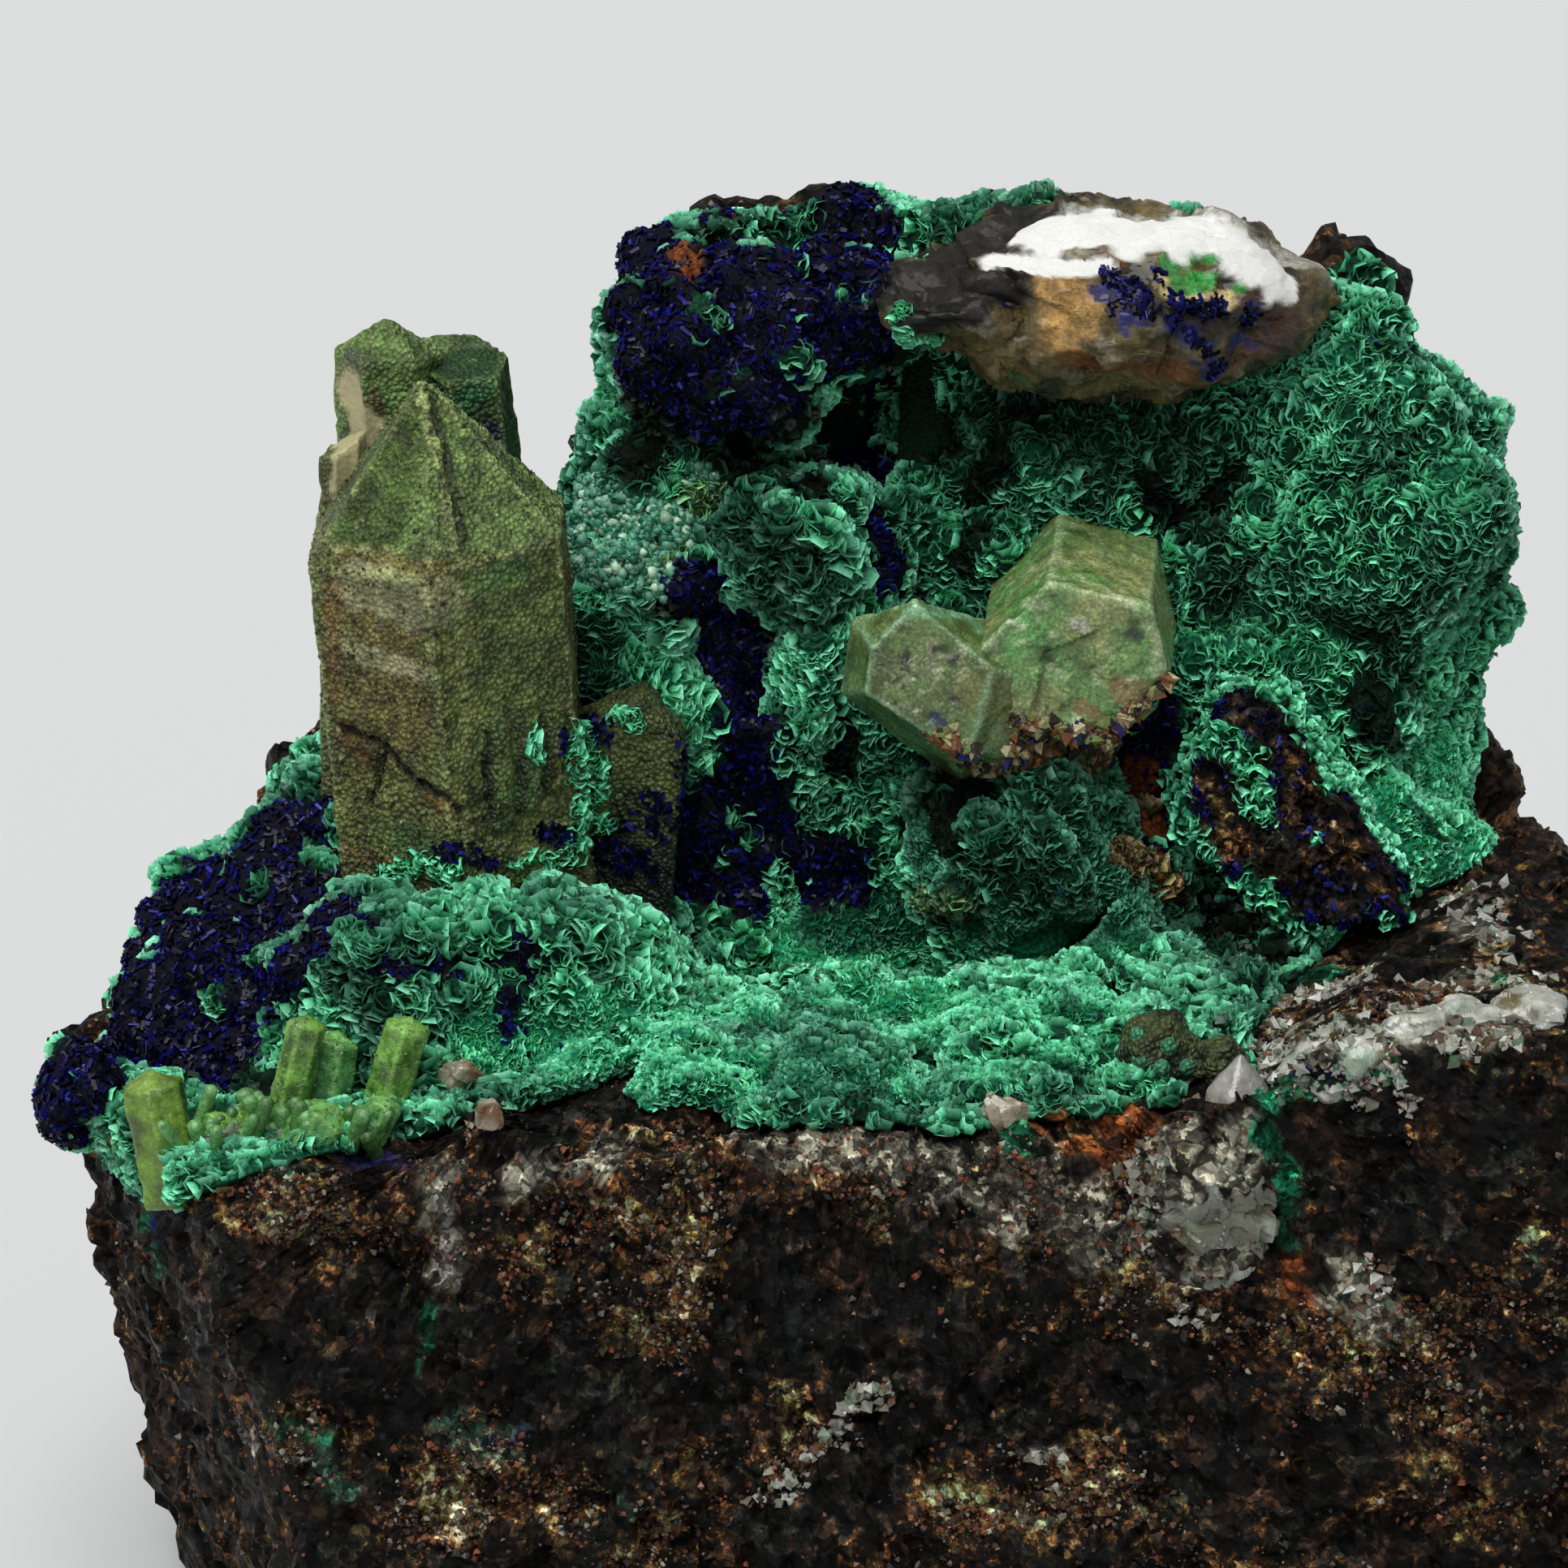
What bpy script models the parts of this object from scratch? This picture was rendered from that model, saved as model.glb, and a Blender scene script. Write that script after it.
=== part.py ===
import math

import bmesh
import bpy
import numpy as np
from mathutils import Matrix, Vector

# A hand specimen of azurite and malachite: a broken block of dark iron-stained matrix with an
# open hollow, lined by a crust of malachite and azurite, from which dusted quartz crystals stand.
# Lengths are in millimetres until a mesh is made. +X is right, +Y away from the viewer and +Z up.
UNIT = 0.001
GAP = 0.45  # clearance along a ray between the matrix and its crust
SOCKET_GAP = 0.35  # clearance between a crystal and what it stands in

# Matrix. A face of it is a direction that it looks in and a place that it runs through.
FRONT_Y = -28.0
BACK_Y = 29.0
RIGHT_X = 51.0
RIM_Z = 44.5
SHOULDER_Z = 48.6  # top of the higher rock at the right of the hollow
CREST_Z = 86.5
WALL_LEFT_X = -12.6
WALL_RIGHT_X = 41.0
FLAT_CUT = -8.0  # the rays reach this far below the rest plane before the flat base is cut

SIDES = (
    ((0.01, -1.0, 0.02), (0.0, FRONT_Y, 30.0)),
    ((-0.906, -0.378, -0.190), (-32.6, -13.6, -6.8)),
    ((-0.80, 0.58, -0.12), (-45.0, 5.0, 26.0)),
    ((-0.35, 0.93, 0.02), (-22.0, BACK_Y - 1.0, 30.0)),
    ((0.06, 1.0, 0.05), (0.0, BACK_Y, 40.0)),
    ((0.72, 0.69, 0.0), (45.0, 20.0, 30.0)),
    ((1.0, 0.15, 0.06), (RIGHT_X, 0.0, 30.0)),
    ((0.75, -0.66, 0.05), (48.5, -25.5, 30.0)),
    ((0.0, 0.0, -1.0), (0.0, 0.0, FLAT_CUT)),
)
FLOOR_OF_HOLLOW = (
    ((-0.06, -0.03, 1.0), (10.0, -20.0, RIM_Z - 0.6)),
    ((-0.30, 0.0, 1.0), (-33.0, -20.0, 42.0)),
)
SHOULDER = (
    ((0.03, 0.05, 1.0), (38.0, -8.0, SHOULDER_Z)),
    ((-0.80, 0.35, 0.60), (30.0, -16.0, 47.0)),
    ((0.6, 0.8, 0.3), (46.0, 14.0, 46.0)),
)

# Wall behind the hollow: its faces, and the front one, which leans back and curls forward
WALL = (
    ((-1.0, -0.05, 0.05), (WALL_LEFT_X, 14.0, 78.0)),
    ((-0.66, 0.1, 0.75), (-9.5, 16.0, CREST_Z - 1.8)),
    ((0.02, -0.1, 1.0), (8.0, 18.0, CREST_Z)),
    ((0.45, 0.0, 0.89), (26.0, 18.0, CREST_Z - 1.8)),
    ((0.86, 0.0, 0.50), (WALL_RIGHT_X - 1.6, 15.0, 74.0)),
    ((1.0, 0.05, -0.02), (WALL_RIGHT_X, 15.0, 66.0)),
    ((0.05, 0.98, 0.14), (10.0, 26.5, 66.0)),
    ((0.70, 0.70, 0.08), (39.0, 22.0, 66.0)),
)
WALL_FOOT_Y = 4.0
WALL_FOOT_Z = 44.0
WALL_LEAN = 11.0  # how far the wall leans back over its height
WALL_CURL = 7.0  # how far its right end comes forward
CURL_START_X = 22.0
CURL_LENGTH = 22.0
RIDGE = (
    ((-0.70, -0.15, 0.70), (-15.6, 12.0, 66.6)),
    ((0.0, -1.0, 0.35), (-15.0, 6.0, 60.0)),
    ((0.0, 1.0, 0.10), (-15.0, 24.0, 60.0)),
    ((1.0, 0.0, 0.0), (0.0, 0.0, 60.0)),
)

# Swells and hollows of the matrix: centre, radii and how far each blends in
SWELLS = (
    ((-4.0, 15.0, 80.0), (7.6, 7.0, 6.4), 2.5),
    ((-31.0, 5.0, 37.0), (14.0, 15.0, 10.5), 3.0),
    ((12.0, 5.0, 45.0), (10.0, 9.0, 9.0), 2.5),
    ((-20.0, -5.0, 43.0), (12.5, 7.5, 6.6), 2.5),
    ((33.5, 20.5, 81.5), (4.5, 4.0, 3.6), 1.5),
    ((-17.3, -25.6, 44.6), (3.0, 2.4, 2.9), 1.0),
    ((42.0, 18.0, 48.5), (4.2, 5.0, 7.0), 1.5),
)
HOLLOWS = (
    ((3.5, -0.5, 47.0), (14.0, 6.4, 7.6), 1.5),
    ((40.5, 4.0, 57.0), (5.0, 8.0, 8.0), 2.0),
    ((2.0, 9.0, 73.0), (8.5, 8.0, 5.5), 2.0),
    ((-5.5, 1.0, 55.0), (3.6, 5.0, 9.0), 2.0),
)
EDGE_BLEND = 1.6  # rounding of the broken edges of the block
WALL_BLEND = 2.0
ROCK_WAVES = ((0.55, 13.0, 3), (0.35, 5.5, 4))  # unevenness: height, length and seed

# Rays that the surfaces are measured along
RAY_CENTRE = (4.0, 8.0, 30.0)
RAY_TILT = math.atan2(0.6, 0.8)  # the hollow looks forward from straight up by this much
TIP_START = 1.1  # angle from the ray axis past which the axis tips to straight down
DISC_X = 26.0
DISC_W = 16.0
RAY_LENGTH = 90.0
RAY_STEPS = 90
HALVINGS = 12

# Mesh: even numbers, because the side that the crust hides takes every second row and column
AROUND = 60
ROWS_IN = 20
ROWS_OUT = 11
ROW_GROWTH = 1.15  # how much the outer rows spread towards the bottom
SHARP_EDGE = math.radians(35)

# Edge of the crust, as places on the rim of the hollow, counterclockwise from the right
RIM = (
    (43.5, 11.0, 48.5),
    (43.6, 15.0, 55.0),
    (45.0, 17.0, 63.0),
    (43.0, 18.0, 76.0),
    (34.5, 18.0, 82.5),
    (25.0, 19.0, 87.0),
    (8.0, 21.0, 88.0),
    (-6.0, 20.0, 88.0),
    (-14.0, 19.0, 81.0),
    (-16.0, 17.0, 70.0),
    (-26.0, 17.0, 58.0),
    (-36.0, 14.0, 50.0),
    (-44.5, 5.0, 43.0),
    (-46.0, -9.0, 36.5),
    (-43.0, -17.0, 35.5),
    (-40.3, -23.0, 37.0),
    (-37.0, -27.6, 40.2),
    (-32.0, -28.0, 42.6),
    (-26.0, -28.0, 44.0),
    (-17.0, -24.6, 47.6),
    (-5.0, -28.0, 46.0),
    (6.0, -28.0, 45.0),
    (16.0, -28.0, 45.0),
    (24.0, -26.0, 46.5),
    (29.0, -16.0, 47.5),
    (32.0, -8.0, 48.0),
    (35.0, -2.5, 50.0),
    (40.5, 2.0, 49.0),
)

# Lumps of the crust: place, radius and height above its own thickness
CRUST_DEPTH = 1.7
CRUST_EDGE = 0.7
CRUST_LEAST = 0.9
CRUST_WAVES = ((0.35, 6.0, 11), (0.25, 3.2, 12))
MOUNDS = (
    ((-10.9, 8.0, 69.0), 4.0, 2.0),
    ((-5.5, 10.0, 70.5), 3.0, 1.6),
    ((-1.5, 9.0, 70.0), 4.2, 3.0),
    ((4.0, 9.0, 63.0), 4.0, 2.2),
    ((-12.0, 4.0, 62.0), 4.5, 2.6),
    ((-11.0, 2.0, 55.0), 3.5, 1.8),
    ((2.8, 5.0, 57.0), 4.5, 2.6),
    ((12.0, 9.0, 76.0), 5.0, 1.8),
    ((22.0, 11.0, 74.0), 6.0, 1.6),
    ((31.5, 11.0, 66.0), 5.0, 2.4),
    ((36.0, 9.0, 61.0), 3.6, 1.6),
    ((31.0, 13.0, 77.0), 5.0, 2.0),
    ((40.0, 13.0, 72.0), 4.0, 1.6),
    ((40.0, 11.0, 59.0), 3.5, 1.8),
    ((8.0, -3.0, 51.0), 4.0, 1.8),
    ((15.0, -3.0, 52.0), 4.0, 1.8),
    ((19.0, -1.0, 56.0), 3.0, 1.6),
    ((-22.5, -10.5, 47.0), 5.0, 3.2),
    ((-13.5, -8.5, 46.5), 4.5, 2.6),
    ((-30.0, -8.0, 47.0), 4.0, 1.8),
    ((-35.0, 6.0, 47.0), 4.5, 1.6),
    ((-41.0, -4.0, 43.0), 4.0, 1.6),
    ((-45.0, -14.0, 40.0), 3.0, 2.2),
    ((-43.5, -19.0, 37.0), 2.6, 1.6),
    ((-18.0, -17.0, 46.0), 5.0, 1.0),
    ((-4.0, -16.0, 46.0), 6.0, 1.2),
    ((9.0, -14.0, 46.0), 7.0, 1.0),
    ((18.0, -12.0, 46.0), 4.0, 1.4),
    ((25.0, -12.0, 47.0), 3.5, 1.6),
)

# Main quartz crystal and the smaller ones grown onto it
MAIN_FOOT = (-21.0, 0.5, 44.0)
MAIN_TIP = (-24.0, 0.5, 82.0)
MAIN_RADII = (7.9, 7.6, 7.7, 7.7, 7.6, 7.6)
MAIN_SHOULDER = (0.0, 0.0, 0.0, -0.4, 0.2, 0.0)
QUARTZ_PITCH = math.radians(38.2)  # angle between a quartz crystal's axis and its end faces

REAR_LEFT_FOOT = (-26.6, 8.0, 50.0)
REAR_LEFT_TIP = (-26.6, 8.0, 83.6)
REAR_LEFT_RADII = (2.6, 3.0, 3.2, 3.0, 3.0, 2.8)
REAR_RIGHT_FOOT = (-19.0, 9.0, 50.0)
REAR_RIGHT_TOP = (-22.2, 9.0, 80.8)
REAR_RIGHT_RADIUS = 2.7
FLAKE_FOOT = (-29.6, 5.0, 52.0)
FLAKE_TOP = (-29.2, 5.0, 76.5)
FLAKE_RADIUS = 1.3
SIDE_FOOT = (-12.6, 1.0, 46.0)
SIDE_TIP = (-11.3, 0.0, 62.0)
SIDE_WIDTH = 3.4
SIDE_THICKNESS = 1.8
BLUNT_PITCH = math.radians(62)

# Pair of quartz crystals at the middle of the wall
PAIR_LEFT_BACK = (16.0, 6.0, 57.5)
PAIR_LEFT_FRONT = (2.6, -5.0, 65.0)
PAIR_LEFT_RADIUS = 4.5
PAIR_RIGHT_BACK = (17.4, 12.0, 65.4)
PAIR_RIGHT_FRONT = (16.0, -2.6, 64.6)
PAIR_RIGHT_RADII = (4.6, 5.1, 5.0, 4.6, 5.6, 5.0)

# Bare remnant of the matrix in front of the right end of the wall: faces, each a normal and a place
REMNANT = (
    ((-0.12, -0.95, 0.28), (30.0, -3.6, 53.0)),
    ((0.80, -0.05, 0.60), (29.6, 1.0, 61.0)),
    ((0.97, -0.1, 0.20), (37.0, -1.0, 51.0)),
    ((0.0, -0.15, 1.0), (27.0, 1.0, 61.2)),
    ((-0.94, -0.05, 0.34), (23.9, 1.0, 60.0)),
    ((-0.6, 0.0, -0.8), (24.0, -1.0, 51.0)),
    ((0.1, 0.0, -1.0), (32.0, -1.0, 47.6)),
    ((0.0, 1.0, 0.2), (28.0, 7.0, 55.0)),
)
REMNANT_PROUD = 2.6  # how far it stands out of the rock under it
REMNANT_BLEND = 2.0

# Lumps of crust that hang over: centre and radii
OVERHANGS = (
    ((-5.4, 11.0, 81.4), (7.4, 6.4, 6.0)),
    ((2.6, 12.6, 83.0), (4.6, 4.6, 3.8)),
    ((-1.6, 9.4, 68.6), (5.4, 5.0, 5.2)),
    ((-11.0, 8.6, 67.0), (5.2, 5.2, 4.2)),
    ((12.6, 0.4, 51.4), (7.2, 6.0, 5.6)),
    ((-44.8, -13.5, 41.0), (2.4, 4.0, 2.6)),
)

# Quartz nodule that hangs at the crest
NODULE_CENTRE = (18.6, 11.5, 83.8)
NODULE_RADII = (12.6, 7.4, 5.9)
NODULE_PLATE_CENTRE = (9.0, 10.5, 84.4)
NODULE_PLATE_RADII = (6.2, 6.0, 2.3)

# Small crystals at the left end of the terrace: foot, tip and radius
SPRIGS = (
    ((-38.4, -22.4, 37.5), (-39.8, -21.4, 45.6), 1.7),
    ((-32.4, -21.5, 40.0), (-30.3, -19.6, 48.4), 1.05),
    ((-29.8, -19.0, 41.0), (-28.8, -17.6, 46.6), 1.35),
    ((-26.4, -20.4, 41.0), (-24.3, -19.4, 48.2), 1.3),
    ((-31.4, -23.2, 40.0), (-28.6, -22.8, 43.9), 1.5),
    ((-27.6, -22.8, 40.0), (-25.4, -22.6, 44.4), 0.95),
    ((-35.2, -22.6, 39.0), (-33.3, -21.6, 43.8), 0.8),
    ((-36.8, -22.8, 39.0), (-35.5, -21.8, 43.2), 0.8),
)
SPRIG_ROOT_CENTRE = (-32.4, -21.4, 40.4)
SPRIG_ROOT_RADII = (7.2, 2.2, 2.4)

# Stub of a crystal with balls of malachite, near the right end of the terrace
STUB_FOOT = (21.8, -20.6, 44.5)
STUB_TIP = (18.8, -20.2, 48.6)
STUB_RADIUS = 2.1
BALLS = ((19.2, -22.2, 46.6, 0.6), (20.4, -22.6, 46.2, 0.55), (19.0, -21.8, 48.0, 0.5),
         (20.8, -22.2, 47.4, 0.55), (21.9, -22.5, 46.2, 0.5))
LOW_STUB_FOOT = (24.8, -21.0, 44.6)
LOW_STUB_TIP = (22.8, -20.8, 47.2)
LOW_STUB_RADIUS = 1.6

# Clear quartz in the front rim: a broken grain and the prism on it
RIM_QUARTZ_FOOT = (24.4, -25.9, 40.0)
RIM_QUARTZ_TIP = (24.9, -25.6, 48.4)
RIM_QUARTZ_RADIUS = 1.75
RIM_GRAIN_CENTRE = (23.4, -26.2, 39.2)
RIM_GRAIN_RADII = (4.4, 3.0, 6.4)

# Seam of quartz along the right end of the front rim: centre and radii of each grain
SEAM = (
    ((29.4, -25.0, 46.9), (2.6, 2.4, 1.9)),
    ((32.2, -25.4, 48.0), (2.8, 2.4, 2.1)),
    ((35.0, -24.8, 49.2), (3.2, 2.6, 2.2)),
    ((38.6, -24.0, 49.4), (3.2, 2.4, 1.9)),
    ((42.0, -22.6, 49.6), (2.8, 2.4, 1.8)),
)


def clear_scene():
    for found in list(bpy.data.objects):
        bpy.data.objects.remove(found, do_unlink=True)


def material(name, colour, roughness, metallic=0.0):
    made = bpy.data.materials.new(name)
    made.use_nodes = True
    shader = made.node_tree.nodes["Principled BSDF"]
    shader.inputs["Base Color"].default_value = (*colour, 1.0)
    shader.inputs["Roughness"].default_value = roughness
    shader.inputs["Metallic"].default_value = metallic
    made.diffuse_color = (*colour, 1.0)
    return made


def object_from(bm, name, finish):
    bmesh.ops.recalc_face_normals(bm, faces=bm.faces)
    mesh = bpy.data.meshes.new(name)
    bm.to_mesh(mesh)
    bm.free()
    mesh.shade_smooth()
    mesh.set_sharp_from_angle(angle=SHARP_EDGE)
    made = bpy.data.objects.new(name, mesh)
    bpy.context.collection.objects.link(made)
    if finish:
        mesh.materials.append(finish)
    return made


def unit(vector):
    vector = np.asarray(vector, float)
    return vector / np.linalg.norm(vector)


# Distances: below 0 inside a form, above 0 outside it.
def beyond_plane(points, normal, through):
    return (points - np.asarray(through)) @ unit(normal)


def beyond_ellipsoid(points, centre, radii):
    away = (points - np.asarray(centre)) / np.asarray(radii)
    far = np.linalg.norm(away, axis=-1) + 1e-9
    slope = np.linalg.norm(away / np.asarray(radii), axis=-1) + 1e-9
    return far * (far - 1.0) / slope


def joined(a, b, blend):
    """The smaller distance, rounded over where the two forms meet."""
    share = np.clip(0.5 + 0.5 * (b - a) / blend, 0.0, 1.0)
    return b + (a - b) * share - blend * share * (1.0 - share)


def common(a, b, blend):
    return -joined(-a, -b, blend)


def inside_planes(points, planes, blend):
    found = beyond_plane(points, *planes[0])
    for plane in planes[1:]:
        found = common(found, beyond_plane(points, *plane), blend)
    return found


def uneven(points, layers):
    return sum(height * waves(points, length, seed) for height, length, seed in layers)


def waves(points, length, seed, count=14):
    """A smooth unevenness of about this length: the sum of waves in random directions."""
    chance = np.random.default_rng(seed)
    heading = chance.normal(size=(count, 3))
    heading *= (2 * math.pi / length) / np.linalg.norm(heading, axis=1, keepdims=True)
    heading *= chance.uniform(0.7, 1.4, (count, 1))
    start = chance.uniform(0, 2 * math.pi, count)
    return np.sin(points @ heading.T + start).sum(axis=-1) / math.sqrt(count)


def wall_distance(points):
    x, y, z = points[..., 0], points[..., 1], points[..., 2]
    height = (z - WALL_FOOT_Z) / (CREST_Z - WALL_FOOT_Z)
    curl = np.clip((x - CURL_START_X) / CURL_LENGTH, 0.0, 1.2) ** 2
    front = WALL_FOOT_Y + WALL_LEAN * height - WALL_CURL * curl - y
    return common(inside_planes(points, WALL, WALL_BLEND), front, WALL_BLEND)


def matrix_distance(points):
    under_remnant = [(normal, np.asarray(place) - REMNANT_PROUD * unit(normal))
                     for normal, place in REMNANT]
    rock = joined(inside_planes(points, FLOOR_OF_HOLLOW, EDGE_BLEND),
                  inside_planes(points, SHOULDER, EDGE_BLEND), 1.5)
    wall = joined(wall_distance(points), inside_planes(points, RIDGE, 2.5), 4.0)
    rock = joined(rock, wall, 3.0)
    rock = joined(rock, inside_planes(points, under_remnant, 1.0), REMNANT_BLEND)
    for centre, radii, blend in SWELLS:
        rock = joined(rock, beyond_ellipsoid(points, centre, radii), blend)
    for centre, radii, blend in HOLLOWS:
        rock = common(rock, -beyond_ellipsoid(points, centre, radii), blend)
    rock = common(rock, inside_planes(points, SIDES, EDGE_BLEND), EDGE_BLEND)
    return rock + uneven(points, ROCK_WAVES)


# Rays
def ray_frame(theta):
    """The ray axis tips from the way the hollow looks to straight down as theta passes the rim."""
    turned = np.clip((theta - TIP_START) / (math.pi - TIP_START), 0.0, 1.0)
    tilt = RAY_TILT * (1.0 - turned * turned * (3.0 - 2.0 * turned))
    zero = np.zeros_like(theta)
    axis = np.stack([zero, -np.sin(tilt), np.cos(tilt)], -1)
    across = np.stack([zero, np.cos(tilt), np.sin(tilt)], -1)
    return axis, across


def rays(theta, phi):
    """Starts on a flat disc inside the rock, and unit directions that fan out from its axis."""
    axis, across = ray_frame(theta)
    right = np.zeros_like(axis)
    right[..., 0] = 1.0
    out = np.sin(theta)[..., None]
    side = np.cos(phi)[..., None]
    up = np.sin(phi)[..., None]
    start = np.asarray(RAY_CENTRE) + out * (DISC_X * side * right + DISC_W * up * across)
    heading = out * (side * right + up * across) + np.cos(theta)[..., None] * axis
    return start, heading


def ray_angles(place):
    """The theta and phi of the ray through a place in the front half, found by halving."""
    axis, across = ray_frame(np.zeros(()))
    away = np.asarray(place) - np.asarray(RAY_CENTRE)
    x, w, a = away[0], away @ across, away @ axis
    low, high = 0.02, 1.45
    for _ in range(40):
        theta = 0.5 * (low + high)
        reach = a / math.cos(theta)
        side = x / ((DISC_X + reach) * math.sin(theta))
        up = w / ((DISC_W + reach) * math.sin(theta))
        if side * side + up * up > 1.0:
            low = theta
        else:
            high = theta
    return theta, math.atan2(up, side)


def rim_theta(phi):
    found = np.array([ray_angles(place) for place in RIM])
    order = np.argsort(found[:, 1])
    return np.interp(phi, found[order, 1], found[order, 0], period=2 * math.pi)


def reach_of(start, heading):
    """How far each ray runs inside the rock: a walk to the first way out, then halvings."""
    steps = np.linspace(0.0, RAY_LENGTH, RAY_STEPS + 1)
    inside = np.stack([matrix_distance(start + heading * step) < 0 for step in steps])
    left = np.argmin(inside, axis=0)
    low = steps[np.maximum(left - 1, 0)]
    high = steps[left]
    for _ in range(HALVINGS):
        middle = 0.5 * (low + high)
        within = matrix_distance(start + heading * middle[..., None]) < 0
        low = np.where(within, middle, low)
        high = np.where(within, high, middle)
    return 0.5 * (low + high)


def crust_depth(points, inward):
    """Thickness of the crust along its ray, with inward 0 at its edge and 1 well inside it."""
    depth = CRUST_DEPTH + uneven(points, CRUST_WAVES)
    for place, radius, height in MOUNDS:
        away = np.linalg.norm(points - np.asarray(place), axis=-1) / radius
        depth = depth + height * np.exp(-away ** 2)
    return CRUST_EDGE + (np.maximum(depth, CRUST_LEAST) - CRUST_EDGE) * inward


def strip(bm, lower, upper):
    """Quads between two rows of vertices that each run once around."""
    for i in range(len(lower)):
        j = (i + 1) % len(lower)
        bm.faces.new((lower[i], lower[j], upper[j], upper[i]))


def cap(bm, row, middle):
    for i in range(len(row)):
        bm.faces.new((row[i], row[(i + 1) % len(row)], middle))


def add_row(bm, points):
    return [bm.verts.new(Vector(point * UNIT)) for point in points]


def coarse_lining(bm, points):
    """Every second row and column out to the rim, whose own row is whole. Gives back that row."""
    rows = [add_row(bm, row[::2]) for row in points[2:ROWS_IN:2]]
    rim = add_row(bm, points[ROWS_IN])
    cap(bm, rows[0], add_row(bm, points[:1, 0])[0])
    for inner, outer in zip(rows, rows[1:]):
        strip(bm, inner, outer)
    last = rows[-1]
    for i in range(len(last)):
        j = (i + 1) % len(last)
        a, b, c = rim[2 * i], rim[2 * i + 1], rim[(2 * i + 2) % len(rim)]
        bm.faces.new((last[i], b, a))
        bm.faces.new((last[i], last[j], b))
        bm.faces.new((last[j], c, b))
    return rim


def surface_samples():
    """Rays and reaches: row 0 is the middle of the hollow, row ROWS_IN the edge of the crust."""
    phi = np.linspace(0, 2 * math.pi, AROUND, endpoint=False)
    rim = rim_theta((phi + math.pi) % (2 * math.pi) - math.pi)
    inner = (np.arange(1, ROWS_IN + 1) / ROWS_IN)[:, None] * rim
    share = (np.arange(1, ROWS_OUT + 1) / (ROWS_OUT + 1))[:, None] ** ROW_GROWTH
    outer = rim + (math.pi - rim) * share
    theta = np.concatenate([np.zeros((1, AROUND)), inner, outer])
    start, heading = rays(theta, np.broadcast_to(phi, theta.shape))
    return start, heading, reach_of(start, heading)


def filled_in(reach):
    """Reach of the coarse lining at each fine sample: the mean of the coarse ones around it."""
    coarse = reach.copy()
    coarse[1:-1:2] = 0.5 * (reach[:-2:2] + reach[2::2])
    coarse[:, 1::2] = 0.5 * (coarse[:, ::2] + np.roll(coarse[:, ::2], -1, axis=1))
    return np.maximum(coarse, reach)


def make_matrix(samples, finish):
    start, heading, reach = samples
    points = start + heading * reach[..., None]
    down, way = rays(np.array([math.pi]), np.zeros(1))
    bottom = down + way * reach_of(down, way)[:, None]
    bm = bmesh.new()
    rows = [coarse_lining(bm, points)]
    rows += [add_row(bm, row) for row in points[ROWS_IN + 1:]]
    for upper, lower in zip(rows, rows[1:]):
        strip(bm, upper, lower)
    cap(bm, rows[-1], add_row(bm, bottom)[0])
    bmesh.ops.triangulate(bm, faces=bm.faces)
    cut = bmesh.ops.bisect_plane(bm, geom=bm.verts[:] + bm.edges[:] + bm.faces[:],
                                 plane_co=(0, 0, 0), plane_no=(0, 0, -1), clear_outer=True)
    rim = [e for e in cut["geom_cut"] if isinstance(e, bmesh.types.BMEdge)]
    bmesh.ops.edgeloop_fill(bm, edges=rim)
    return object_from(bm, "matrix_rock", finish)


def make_crust(samples, finish):
    start, heading, reach = (part[:ROWS_IN + 1] for part in samples)
    skin = start + heading * reach[..., None]
    inward = np.clip((ROWS_IN - np.arange(ROWS_IN + 1.0)) / 2.0, 0.0, 1.0)[:, None]
    depth = crust_depth(skin, inward)
    under = start + heading * (reach + GAP)[..., None]
    over = start + heading * (filled_in(reach) + GAP + depth)[..., None]
    bm = bmesh.new()
    lower = coarse_lining(bm, under)
    upper = [add_row(bm, row) for row in over[1:]]
    cap(bm, upper[0], add_row(bm, over[:1, 0])[0])
    for inner, outer in zip(upper, upper[1:]):
        strip(bm, inner, outer)
    strip(bm, upper[-1], lower)
    bmesh.ops.triangulate(bm, faces=bm.faces)
    return object_from(bm, "malachite_azurite_crust", finish)


def crystal_planes(foot, tip, radii, spin=0.0, pitch=QUARTZ_PITCH, tops=(0,) * 6, end=None):
    """Faces of a six-sided prism with a six-faced point: each is a normal and a place on it."""
    foot, tip = np.asarray(foot, float), np.asarray(tip, float)
    axis = unit(tip - foot)
    front = unit(np.array([0.0, -1.0, 0.0]) - axis * -axis[1])
    if abs(axis[1]) > 0.8:
        front = unit(np.array([0.0, 0.0, 1.0]) - axis * axis[2])
    side = np.cross(front, axis)
    planes = [(-axis, foot)]
    for i, (radius, top) in enumerate(zip(radii, tops)):
        turn = spin + (i + 0.5) * math.pi / 3
        out = math.cos(turn) * front + math.sin(turn) * side
        planes.append((out, foot + out * radius))
        if end is None:
            slope = out * math.cos(pitch) + axis * math.sin(pitch)
            planes.append((slope, tip + axis * top))
    if end is not None:
        planes.append((unit(end), tip))
    return planes


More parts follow.
